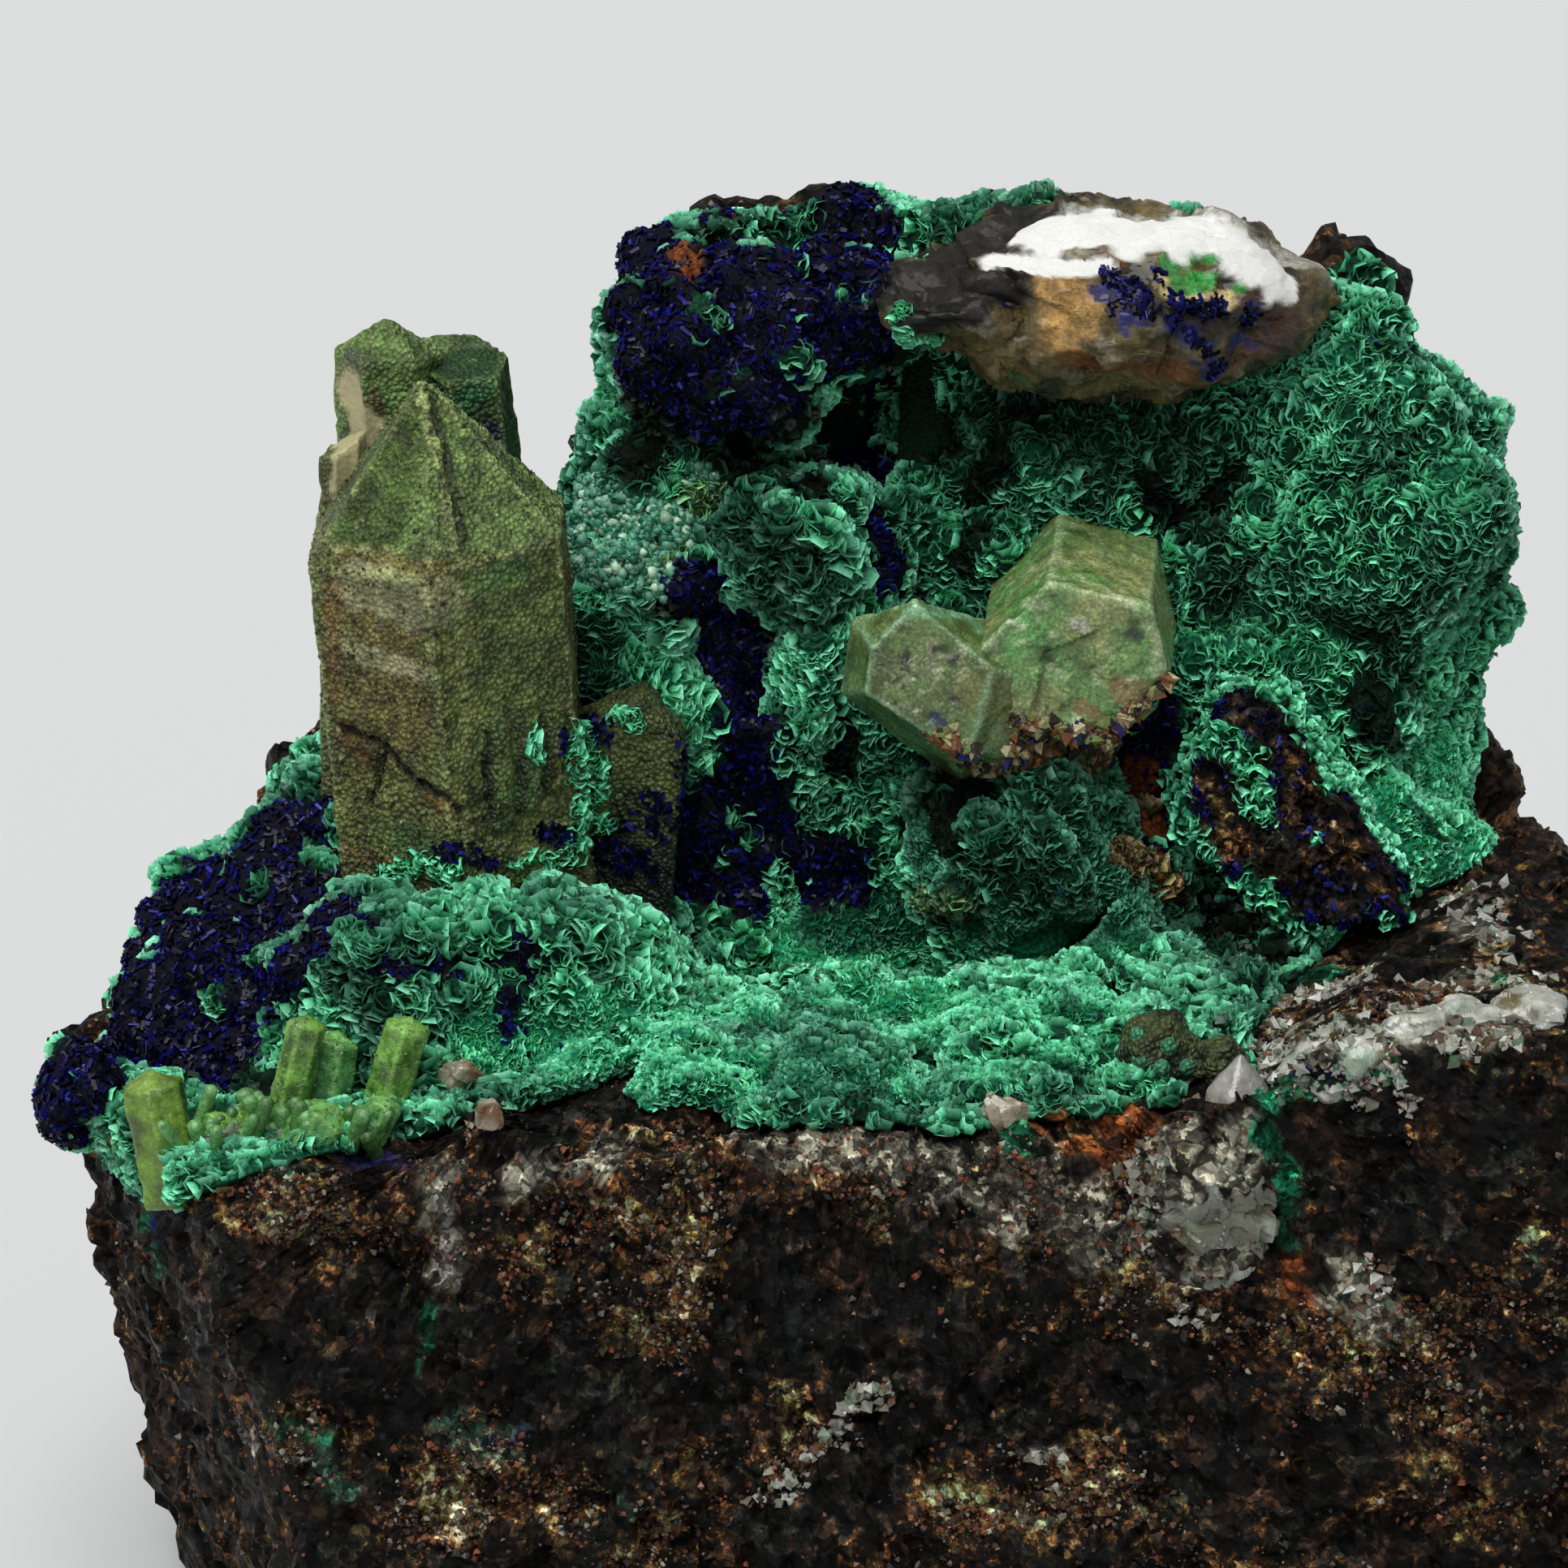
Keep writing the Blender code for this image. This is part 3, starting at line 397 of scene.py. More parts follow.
def nearestCells(points, size, seed):
    # distance to the nearest and second nearest of one random place per lattice cell, that
    # nearest place's own random number, and the way from it
    place = points / size
    home = np.floor(place)
    first = np.full(points.shape[:-1], 9.0)
    second = first.copy()
    number = np.zeros_like(first)
    offset = np.zeros_like(place)
    for step in np.ndindex(3, 3, 3):
        cell = home + np.array(step) - 1.0
        jitter = np.stack([scrambled(cell, seed + i) for i in range(3)], -1)
        way = place - cell - jitter
        far = np.linalg.norm(way, axis=-1)
        closer = far < first
        second = np.where(closer, first, np.minimum(second, far))
        number = np.where(closer, scrambled(cell, seed + 3), number)
        offset = np.where(closer[..., None], way, offset)
        first = np.where(closer, far, first)
    return first, second, number, offset * size


def chipped(points, layers):
    # each cell of the noise is a flat facet with its own random tilt and level
    total = 0.0
    for height, size, seed in layers:
        _, _, number, offset = nearestCells(points, size, seed)
        turn = number * 2 * math.pi * 7.0
        rise = 2.0 * ((number * 13.0) % 1.0) - 1.0
        flat = np.sqrt(1.0 - rise * rise)
        tilt = np.stack([flat * np.cos(turn), flat * np.sin(turn), rise], -1)
        level = 2.0 * ((number * 29.0) % 1.0) - 1.0
        total = total + height * (0.9 * (offset * tilt).sum(-1) / size + 0.6 * level)
    return total


def rosettes(points, layers):
    # a ball round each cell's place, with the gaps between the balls deep
    total = 0.0
    for height, size, seed in layers:
        first, _, _, _ = nearestCells(points, size, seed)
        total = total + height * (np.sqrt(np.clip(1.0 - (first / 0.85) ** 2, 0.0, 1.0)) - 0.65)
    return total


# The picture's frame, for places that are given in its pixels
def pictureFrame():
    tilt = math.radians(view["elevation"])
    back = np.array([0.0, -math.cos(tilt), math.sin(tilt)])
    return np.asarray(view["target"]) + back * view["distance"], back


def pixelsOf(points):
    eye, back = pictureFrame()
    right = np.array([1.0, 0.0, 0.0])
    up = np.cross(back, right)
    away = points - eye
    depth = -(away @ back)
    scale = view["pixels"] * view["distance"] / view["across"]
    middle = view["pixels"] / 2
    return np.stack([middle + scale * (away @ right) / depth,
                     middle - scale * (away @ up) / depth, depth], -1)


class Ground:
    # every skin point that a pixel place can fall on
    def __init__(self, *skins):
        self.points = np.concatenate([skin.reshape(-1, 3) for skin in skins])
        self.pixels = pixelsOf(self.points)

    def under(self, u, v, near=9.0):
        # the point nearest the camera among those close to this pixel
        apart = np.hypot(self.pixels[:, 0] - u, self.pixels[:, 1] - v)
        cost = np.where(apart < near, self.pixels[:, 2] + 0.1 * apart, 1e6 + apart)
        return self.points[np.argmin(cost)]

    def along(self, strokes):
        # places and radii along strokes: each is a width in pixels, then the pixels it runs through
        places, radii = [], []
        for width, *stops in strokes:
            stops = np.array(stops, float).reshape(-1, 2)
            for a, b in zip(stops, np.concatenate([stops[1:], stops[-1:]])):
                count = max(1, int(np.hypot(*(b - a)) / (0.7 * width)))
                for share in np.arange(count) / count:
                    places.append(self.under(*(a + (b - a) * share)))
                    radii.append(width * view["across"] / view["pixels"])
        return np.array(places), np.array(radii)


def inZone(points, zone, ragged=0.35, size=1.6, seed=77):
    # 1 inside the zone and 0 outside it, with a ragged soft edge
    places, radii = zone
    near = np.full(points.shape[:-1], 9.0)
    for place, radius in zip(places, radii):
        near = np.minimum(near, np.linalg.norm(points - place, axis=-1) / radius)
    near = near + ragged * fractal(points, size, seed, 3)
    return smoothStep(1.15, 0.85, near)


def smoothStep(low, high, value):
    share = np.clip((value - low) / (high - low), 0.0, 1.0)
    return share * share * (3.0 - 2.0 * share)


def patches(points, low, high, size, seed, octaves=4):
    # 0 where the noise is below low, 1 where it is above high
    return smoothStep(low, high, fractal(points, size, seed, octaves))


# Meshes
def gridNormals(points):
    # cross product of the steps down the rows and round the columns
    down = np.gradient(points, axis=0)
    circling = np.roll(points, -1, axis=1) - np.roll(points, 1, axis=1)
    normal = np.cross(down, circling)
    return normal / (np.linalg.norm(normal, axis=-1, keepdims=True) + 1e-12)


def closedFaces(rows, columns):
    # quads between rings, and a fan to a pole at each end, as corner numbers
    index = np.arange(rows * columns).reshape(rows, columns)
    beside = np.roll(index, -1, axis=1)
    quads = np.stack([index[:-1], index[1:], beside[1:], beside[:-1]], -1).reshape(-1, 4)
    first, last = rows * columns, rows * columns + 1
    top = np.stack([np.full(columns, first), index[0], beside[0]], -1)
    bottom = np.stack([np.full(columns, last), beside[-1], index[-1]], -1)
    return quads, np.concatenate([top, bottom])


def withPoles(rings):
    # the rings' own corners and the middle of the first and last one
    return np.concatenate([rings.reshape(-1, rings.shape[-1]),
                           rings[:1].mean(axis=1), rings[-1:].mean(axis=1)])


def makeMesh(name, points, faces, tint, finish, smooth=True, rich=None):
    # faces is a list of arrays of corner numbers, one array for each number of corners
    mesh = bpy.data.meshes.new(name)
    corners = np.concatenate([part.reshape(-1) for part in faces]).astype(np.int32)
    sizes = np.concatenate([np.full(len(part), part.shape[1]) for part in faces])
    mesh.vertices.add(len(points))
    mesh.vertices.foreach_set("co", (points * mm).astype(np.float32).ravel())
    mesh.loops.add(len(corners))
    mesh.loops.foreach_set("vertex_index", corners)
    mesh.polygons.add(len(sizes))
    starts = np.concatenate([[0], np.cumsum(sizes)[:-1]]).astype(np.int32)
    mesh.polygons.foreach_set("loop_start", starts)
    mesh.polygons.foreach_set("use_smooth", np.full(len(sizes), smooth))
    mesh.update(calc_edges=True)
    if tint.shape[1] == 3:
        tint = np.column_stack([tint, np.ones(len(tint))])
    shade = mesh.attributes.new("tint", "FLOAT_COLOR", "POINT")
    shade.data.foreach_set("color", tint.astype(np.float32).ravel())
    if rich is not None:
        level = mesh.attributes.new("rich", "FLOAT", "POINT")
        level.data.foreach_set("value", rich.astype(np.float32))
    mesh.materials.append(finish.material)
    piece = bpy.data.objects.new(name, mesh)
    bpy.context.scene.collection.objects.link(piece)
    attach(piece, "root")
    print("made", name, "with", int((sizes - 2).sum()), "triangles")
    return piece


def makeSkin(name, parts, finish, smooth=True, rich=None):
    # closed forms put one after another in one mesh
    points, tint = (np.concatenate([part[key] for part in parts]) for key in ("points", "tint"))
    starts = np.cumsum([0] + [len(part["points"]) for part in parts])
    faces = [np.concatenate([part[key] + start for part, start in zip(parts, starts)])
             for key in ("quads", "triangles")]
    if rich is not None:
        rich = withPoles(rich[..., None])[:, 0]
    return makeMesh(name, points, faces, tint, finish, smooth, rich)


def blended(a, b, share):
    return a + (np.asarray(b) - a) * np.asarray(share)[..., None]


def colour(red, green, blue):
    # display values from 0 to 255, as linear light
    value = np.array([red, green, blue]) / 255.0
    return light["share"] * np.where(value <= 0.04045, value / 12.92, ((value + 0.055) / 1.055) ** 2.4)


def hue(shade):
    # a shade by its name, by its display values, or as it is
    if isinstance(shade, str):
        return shades[shade]
    return colour(*shade) if isinstance(shade, tuple) else shade


def painted(points, base, *coats):
    # a shade all over, then each coat's shade by its share
    tint = np.broadcast_to(hue(base), points.shape)
    for shade, share in coats:
        tint = blended(tint, hue(shade), share)
    return tint


def graded(points, kind, base, *coats):
    # a shade all over, then each coat's shade where the random number goes from low to high
    return painted(points, base, *((shade, smoothStep(low, high, kind)) for shade, low, high in coats))


def coated(tint, points, own, coats):
    # each coat is a shade, how much of it there is, and the strokes that it follows
    for shade, amount, *strokes in coats:
        tint = blended(tint, hue(shade), amount * inZone(points, own.along(strokes)))
    return tint


def dusty(tint, clean):
    # the fourth value is how much dust lies on the quartz
    return np.concatenate([tint, 1.0 - clean[..., None]], axis=-1)


# Closed skins from rays
def formOf(rings, tint):
    quads, fans = closedFaces(*rings.shape[:2])
    return {"points": withPoles(rings), "tint": withPoles(tint), "quads": quads, "triangles": fans}


def turnsAndRises(rows, columns):
    theta = math.pi * np.arange(1, rows + 1)[:, None] / (rows + 1)
    phi = 2 * math.pi * np.arange(columns)[None, :] / columns
    return np.broadcast_arrays(theta, phi)


def convexRings(planes, centre, axis, half, rows, columns, rounding):
    # rays from a line inside the form; the first plane that a ray meets stops it, and the
    # corner between two planes is rounded over
    theta, phi = turnsAndRises(rows, columns)
    axis = unit(axis)
    side = unit(np.cross(axis, (0.3, 0.9, 0.2)))
    turned = np.cos(phi)[..., None] * side + np.sin(phi)[..., None] * np.cross(axis, side)
    start = np.asarray(centre) + np.cos(theta)[..., None] * axis * half
    heading = np.sin(theta)[..., None] * turned + np.cos(theta)[..., None] * axis
    reach = np.full(theta.shape, 1e3)
    for normal, through in planes:
        normal = unit(normal)
        slope = heading @ normal
        room = (np.asarray(through) - start) @ normal
        reach = joined(reach, np.where(slope > 1e-3, room / np.maximum(slope, 1e-3), 1e3), rounding)
    return start + heading * reach[..., None]


def ellipsoidRings(centre, radii, rows, columns):
    theta, phi = turnsAndRises(rows, columns)
    way = np.stack([np.sin(theta) * np.cos(phi), np.sin(theta) * np.sin(phi), np.cos(theta)], -1)
    return np.asarray(centre) + way * np.asarray(radii)


def crystalPlanes(foot, tip, radii, spin=0.0, pitch=math.radians(38.2), tops=(0,) * 6, end=None):
    # a six-sided prism with a six-faced point, or with one flat end
    foot, tip = np.asarray(foot, float), np.asarray(tip, float)
    axis = unit(tip - foot)
    front = unit(np.array([0.0, -1.0, 0.0]) - axis * -axis[1])
    if abs(axis[1]) > 0.8:
        front = unit(np.array([0.0, 0.0, 1.0]) - axis * axis[2])
    side = np.cross(front, axis)
    planes = [(-axis, foot)]
    for i, (radius, top) in enumerate(zip(radii, tops)):
        turn = spin + (i + 0.5) * math.pi / 3
        out = math.cos(turn) * front + math.sin(turn) * side
        planes.append((out, foot + out * radius))
        if end is None:
            planes.append((out * math.cos(pitch) + axis * math.sin(pitch), tip + axis * top))
    if end is not None:
        planes.append((unit(end), tip))
    return planes


def hullPlanes(centre, radii, seed, corners=16):
    # the faces of the hull of corners spread over an ellipsoid: those planes through three
    # corners that have every other corner on one side
    way = unit(np.random.default_rng(seed).normal(size=(corners, 3)))
    places = np.asarray(centre) + way * np.asarray(radii)
    chosen = np.array([trio for trio in np.ndindex(corners, corners, corners)
                       if trio[0] < trio[1] < trio[2]])
    a, b, c = places[chosen[:, 0]], places[chosen[:, 1]], places[chosen[:, 2]]
    normal = unit(np.cross(b - a, c - a))
    level = (places[None] - a[:, None]) @ normal[..., None]
    level = level[..., 0]
    outward = (level < 1e-6).all(axis=1)
    inward = (level > -1e-6).all(axis=1)
    return [(n, p) for n, p in zip(normal[outward], a[outward])] + \
        [(-n, p) for n, p in zip(normal[inward], a[inward])]


def insideForm(points, planes):
    # distance to the nearest face, below 0 inside
    return np.max([beyondPlane(points, normal, through) for normal, through in planes], axis=0)


def edgeBand(points, planes, width):
    # 1 where two faces meet, falling to 0 this far inside the nearer of the others
    apart = np.sort(np.stack([beyondPlane(points, normal, through) for normal, through in planes]), axis=0)
    return smoothStep(-width, 0.0, apart[-2])


def pushed(rings, rise):
    return rings + gridNormals(rings) * rise[..., None]


class Scatter:
    # random places on a skin's quads, as likely as the area of the quad times its weight
    def __init__(self, rings, weight, count, chance):
        a, b = rings[:-1], rings[1:]
        c, d = np.roll(b, -1, axis=1), np.roll(a, -1, axis=1)
        area = np.linalg.norm(np.cross(c - a, b - d), axis=-1) * 0.5 * weight[:-1]
        total = np.cumsum(area.ravel())
        picked = np.searchsorted(total, chance.random(count) * total[-1])
        self.row, self.column = np.unravel_index(np.minimum(picked, area.size - 1), area.shape)
        self.down, self.over = chance.random(count), chance.random(count)
        self.columns = rings.shape[1]
        self.points = self.read(rings)
        self.normals = unit(self.read(gridNormals(rings)))

    def read(self, field):
        # the field between the quad's four corners
        beside = (self.column + 1) % self.columns
        shape = (-1,) + (1,) * (field.ndim - 2)
        down, over = self.down.reshape(shape), self.over.reshape(shape)
        upper = field[self.row, self.column] * (1 - over) + field[self.row, beside] * over
        lower = field[self.row + 1, self.column] * (1 - over) + field[self.row + 1, beside] * over
        return upper * (1 - down) + lower * down


def turnedAbout(normals, chance, level=0.0):
    # a direction along the surface, at random, drawn towards the horizontal by level
    free = chance.normal(size=normals.shape)
    flat = np.cross(normals, (0.0, 0.0, 1.0)) * chance.choice((-1.0, 1.0), len(normals))[:, None]
    mixed = unit(free) * (1.0 - np.asarray(level))[..., None] + flat * np.asarray(level)[..., None]
    return unit(mixed - normals * (mixed * normals).sum(-1, keepdims=True))


def between(chance, low, high, count):
    return chance.uniform(low, high, count)


def petalCorners(points, up, along, length, height, width, bend, sink):
    # a bent blade on edge: at u from -1 to 1 along it, its ridge is at along u length/2 +
    # side bend length (1 - u u) + up height, its foot is width wide, and both ends are points
    side = np.cross(up, along)
    def station(u, level, out):
        sway = bend * length * (1.0 - u * u)
        return (points + along * (0.5 * length * u)[:, None] + side * (sway + out)[:, None]
                + up * level[:, None])
    count = len(points)
    first, second = np.full(count, -0.5), np.full(count, 0.5)
    end, zero = np.ones(count), np.zeros(count)
    corners = [station(-end, 0.45 * height, zero)]
    for u, share in ((first, 1.0), (second, 0.92)):
        corners += [station(u, zero - sink, width), station(u, share * height, zero),
                    station(u, zero - sink, -width)]
    corners.append(station(end, 0.35 * height, zero))
    return np.stack(corners, axis=1)


petalFaces = np.array([(2, 1, 0), (3, 2, 0), (1, 3, 0), (5, 4, 1), (1, 2, 5), (6, 5, 2), (2, 3, 6),
                       (4, 6, 3), (3, 1, 4), (4, 5, 7), (5, 6, 7), (6, 4, 7)])
boxFaces = np.array([(0, 2, 3, 1), (4, 5, 7, 6), (0, 1, 5, 4), (2, 6, 7, 3), (0, 4, 6, 2), (1, 3, 7, 5)])


def stampedFaces(faces, count, corners):
    return (faces[None] + (np.arange(count) * corners)[:, None, None]).reshape(-1, faces.shape[1])


def equalSolid(corners, edge):
    # corners that are one edge apart in threes are a face, wound to look outward
    corners = np.asarray(corners, float)
    faces = []
    for i, j, k in np.ndindex(len(corners), len(corners), len(corners)):
        a, b, c = corners[i], corners[j], corners[k]
        sides = [np.linalg.norm(a - b), np.linalg.norm(b - c), np.linalg.norm(c - a)]
        if i < j < k and np.allclose(sides, edge):
            outward = np.dot(np.cross(b - a, c - a), a + b + c) > 0
            faces.append((i, j, k) if outward else (i, k, j))
    return corners / np.linalg.norm(corners[0]), np.array(faces)


golden = (1 + math.sqrt(5)) / 2
octahedron = equalSolid([(1, 0, 0), (-1, 0, 0), (0, 1, 0), (0, -1, 0), (0, 0, 1), (0, 0, -1)],
                        math.sqrt(2))
icosahedron = equalSolid([p for a in (-1, 1) for b in (-golden, golden)
                          for p in ((0, a, b), (a, b, 0), (b, 0, a))], 2.0)


def grainCorners(solid, points, sizes, chance, jitter=0.25, stretch=0.35):
    # a solid whose corners are moved at random, drawn out and turned at random, at each place
    corners, _ = solid
    count = len(points)
    shape = corners[None] * (1 + chance.uniform(-jitter, jitter, (count, len(corners), 1)))
    shape = shape * (1 + chance.uniform(-stretch, stretch, (count, 1, 3)))
    a = unit(chance.normal(size=(count, 3)))
    b = unit(np.cross(a, chance.normal(size=(count, 3))))
    turn = np.stack([a, b, np.cross(a, b)], axis=1)
    return points[:, None] + np.einsum("nki,nij->nkj", shape, turn) * sizes[:, None, None]


def repeated(tint, corners, wander, chance):
    # one tint for each copy, a little lighter or darker at each of its corners
    light = 1 + chance.uniform(-wander, wander, (len(tint), corners, 1))
    return (tint[:, None] * light).reshape(-1, 3)


# Skins of the rock and of the crust
def rockRings():
    # rings from the middle of the hollow over its edge and down the sides; the rings under the
    # crust are sunk a little, and the broken sides are chipped
    phi = 2 * math.pi * np.arange(rock["columns"]) / rock["columns"]
    rim = rimTheta(phi)
    inner = (np.arange(1, rock["rowsInside"] + 1) / rock["rowsInside"])[:, None] * rim
    share = (np.arange(1, rock["rowsOutside"] + 1) / (rock["rowsOutside"] + 1))[:, None] ** 1.3
    theta = np.concatenate([inner, rim + (math.pi - rim) * share])
    start, heading = castRays(theta, np.broadcast_to(phi, theta.shape))
    sunk = rock["sunk"] * smoothStep(1.0, 0.75, theta / rim)
    rings = start + heading * (reachOf(start, heading) - sunk)[..., None]
    height, size, seed = rock["roughness"]
    rise = chipped(rings, rock["chips"]) + height * fractal(rings, size, seed)
    bare = smoothStep(0.9, 1.0, theta / rim) * smoothStep(0.1, 2.0, rings[..., 2])
    rings = pushed(rings, rise * bare)
    rings[..., 2] = np.maximum(rings[..., 2], 0.0)
    return rings


def crustDepth(points, inward):
    depth = crust["depth"] + uneven(points, crust["waves"])
    for place, radius, height in crust["mounds"]:
        away = np.linalg.norm(points - np.asarray(place), axis=-1) / radius
        depth = depth + height * np.exp(-away ** 2)
    return crust["edge"] + (np.maximum(depth, crust["least"]) - crust["edge"]) * inward


def crustRings():
    # rings over the top from the middle out to the edge, then back to the middle underneath
    phi = 2 * math.pi * np.arange(crust["columns"]) / crust["columns"]
    share = (np.arange(1, crust["rows"] + 1) / crust["rows"])[:, None]
    theta = share * rimTheta(phi)
    start, heading = castRays(theta, np.broadcast_to(phi, theta.shape))
    reach = reachOf(start, heading)
    inward = np.clip(10.0 * (1.0 - share), 0.0, 1.0)
    depth = crustDepth(start + heading * reach[..., None], inward) + crust["gap"]
    top = start + heading * (reach + depth)[..., None]
    every = crust["rows"] // crust["rowsUnder"]
    under = (start + heading * (reach - 1.0)[..., None])[::-every]
    return top, under, np.broadcast_to(inward, reach.shape)


rockSkin = rockRings()
print("rock worked out")
crustTop, crustUnder, crustInward = crustRings()
print("crust worked out")
lumpRings = [ellipsoidRings(centre, radii, 58, 92) for centre, radii in crust["overhangs"]]
lumpRings = [pushed(rings, uneven(rings, ((0.45, 6.0, 61), (0.40, 3.0, 62)))) for rings in lumpRings]
ground = Ground(rockSkin, crustTop, *lumpRings)

# Zones on the crust, as strokes: half a width in pixels of the picture, then the pixels it runs
# through, as across and down in turn
crustStrokes = {
    "azurite": (
        (84, 800, 400, 860, 320, 950, 290, 1040, 300), (84, 830, 450, 900, 400, 1000, 370),
        (55, 880, 520, 980, 480, 1060, 420), (34, 1095, 290, 1120, 370),
        (45, 840, 265, 920, 235, 1010, 240), (35, 760, 330, 800, 280), (30, 1060, 255, 1090, 262),
        (55, 790, 300, 840, 250, 950, 232, 1060, 250), (50, 770, 380, 800, 450), (46, 1000, 330, 1080, 340),
        (44, 250, 1060, 200, 1120, 150, 1190, 105, 1260),
        (46, 870, 735, 905, 800, 930, 870, 915, 940, 870, 1000, 830, 1070),
        (46, 935, 1000, 960, 1060, 1030, 1080), (30, 850, 1090, 920, 1110), (20, 850, 705, 815, 725),
        (30, 1062, 560, 1085, 600, 1075, 640, 1100, 690, 1085, 715), (14, 742, 900, 715, 935),
        (60, 360, 1030, 275, 1110, 215, 1175, 128, 1275, 60, 1345),
        (64, 385, 1100, 300, 1150, 230, 1220, 160, 1300), (60, 300, 1090, 240, 1140, 170, 1210, 110, 1300),
        (40, 1400, 920, 1430, 980, 1420, 1030), (46, 350, 1190, 300, 1250, 270, 1320),
        (36, 420, 1080, 405, 1150), (24, 115, 1360, 80, 1385),
        (14, 455, 1190, 530, 1187, 600, 1180, 655, 1160), (13, 640, 1140, 650, 1205),
        (16, 628, 1228, 625, 1265), (13, 438, 1130, 462, 1142), (16, 1440, 868, 1425, 905),
        (14, 1395, 905, 1405, 940), (16, 1440, 905, 1475, 930, 1480, 965), (12, 560, 1060, 600, 1075),
        (14, 690, 1020, 720, 1010), (24, 800, 1035, 815, 1085), (16, 200, 1440, 170, 1480),
        (24, 60, 1360, 90, 1400, 85, 1440), (30, 120, 1290, 200, 1310),
    ),
    "tufts": (
        (13, 862, 372, 880, 400), (9, 985, 330), (9, 850, 262, 858, 290), (12, 955, 505), (14, 905, 455),
        (20, 845, 920, 850, 950), (14, 925, 1035), (10, 825, 985), (12, 905, 1010),
        (16, 385, 1030, 400, 1060), (11, 325, 1085), (10, 190, 1165), (14, 340, 1290),
    ),
    "fine": (
        (60, 600, 1300, 700, 1290, 820, 1260, 950, 1250, 1100, 1250, 1230, 1240, 1330, 1230),
        (50, 690, 1340, 850, 1330, 1000, 1320, 1100, 1340), (45, 1180, 1320, 1300, 1300),
        (60, 1360, 1060, 1380, 1130), (60, 1140, 1060, 1120, 1140, 1000, 1150), (50, 1780, 950, 1830, 1030),
        (45, 1730, 1000, 1790, 1080), (50, 1230, 1150, 1330, 1160),
    ),
    "big": (
        (60, 540, 1110, 560, 1160), (60, 720, 1130, 780, 1160), (60, 430, 1230, 470, 1290),
        (45, 600, 1060, 650, 1070), (40, 860, 760, 800, 840, 850, 870), (50, 960, 620, 1010, 700),
        (40, 860, 950),
    ),
    "granules": (
        (38, 705, 640, 760, 640, 820, 650), (34, 735, 600, 790, 700, 720, 690), (26, 870, 590),
    ),
    "olive": (
        (30, 825, 690, 815, 740), (24, 880, 600, 860, 620), (28, 205, 1225, 165, 1260), (18, 262, 1100),
        (22, 60, 1345, 100, 1350), (16, 90, 1420, 130, 1400), (20, 1130, 1105, 1185, 1120),
    ),
    "rust": (
        (22, 1712, 530), (20, 843, 300, 845, 330), (13, 902, 255), (30, 1400, 960, 1420, 1010),
        (24, 1390, 1050, 1440, 1090), (14, 1300, 1380), (12, 555, 1310),
    ),
    # painted shadow: the crust and its petals are painted darker under the overhangs and in the hollows
    "dark": (
        (60, 820, 520, 900, 560, 970, 520, 1040, 480, 1090, 430), (34, 1000, 590, 1060, 540),
        (45, 800, 470, 790, 560), (22, 1185, 690, 1210, 660), (26, 1130, 560, 1170, 540),
        (30, 1020, 870, 1040, 940), (26, 1690, 850, 1700, 920), (20, 1150, 1000, 1175, 1040),
        (20, 1240, 560, 1200, 600), (18, 1420, 590, 1440, 640), (30, 1150, 930, 1190, 965),
        (20, 1500, 600, 1560, 560), (30, 1480, 1110, 1560, 1160), (34, 290, 1310, 330, 1330, 250, 1330),
    ),
    # painted shade: the crust and its petals are painted darker where the crystals and the nodule shade
    # them
    "paintedShade": (
        (90, 1180, 980, 1270, 1030, 1360, 1090), (60, 1240, 500, 1380, 540, 1480, 560),
        (55, 900, 650, 950, 690, 1000, 740), (34, 1010, 1140, 1150, 1130, 1290, 1130),
        (50, 1140, 1000, 1160, 1060), (60, 1120, 480, 1200, 540), (40, 1250, 1150, 1340, 1150),
        (40, 1460, 1120, 1540, 1190, 1560, 1250), (40, 1480, 640, 1500, 720), (30, 1700, 760, 1720, 840),
        (40, 720, 780, 740, 860), (30, 430, 1200, 480, 1260),
    ),
    # painted light: the crust and its petals are painted lighter on the terrace and on the lit slopes
    "bright": (
        (45, 1620, 870, 1680, 960, 1735, 1050), (60, 1780, 960, 1830, 1040), (40, 860, 860, 780, 830),
        (50, 650, 1250, 820, 1240, 1000, 1210, 1200, 1210), (45, 700, 1350, 760, 1370),
        (30, 420, 1400, 300, 1430), (50, 1030, 760, 1000, 830), (40, 860, 870, 800, 920),
        (44, 1000, 1180, 1150, 1170, 1300, 1160, 1400, 1185), (40, 1640, 820, 1600, 800, 1700, 900),
        (24, 600, 1385, 760, 1395, 900, 1388, 1050, 1398, 1200, 1385, 1330, 1370),
        (36, 1440, 800, 1560, 830), (40, 1560, 420, 1700, 480, 1790, 600), (36, 1250, 560, 1330, 640),
        (30, 1820, 700, 1790, 780), (60, 1620, 880, 1700, 960), (60, 620, 1280, 840, 1270),
        (50, 790, 790, 800, 880), (40, 720, 640, 800, 660),
    ),
}
crustZones = {name: ground.along(strokes) for name, strokes in crustStrokes.items()}
print("zones placed")


# Shader maths
class Socket:
    # a shader value that takes part in sums like a number
    def __init__(self, tree, source):
        self.tree = tree
        self.source = source

    def maths(self, operation, a, b=0.0):
        node = self.tree.nodes.new("ShaderNodeMath")
        node.operation = operation
        for entry, value in zip(node.inputs, (a, b)):
            feed(self.tree, entry, value)
        return Socket(self.tree, node.outputs[0])

    def __add__(self, other):
        return self.maths("ADD", self, other)

    def __radd__(self, other):
        return self.maths("ADD", other, self)

    def __sub__(self, other):
        return self.maths("SUBTRACT", self, other)

    def __rsub__(self, other):
        return self.maths("SUBTRACT", other, self)

    def __mul__(self, other):
        return self.maths("MULTIPLY", self, other)

    def __rmul__(self, other):
        return self.maths("MULTIPLY", other, self)

    def __pow__(self, other):
        return self.maths("POWER", self, other)


def feed(tree, entry, value):
    if isinstance(value, Socket):
        tree.links.new(value.source, entry)
    else:
        entry.default_value = value


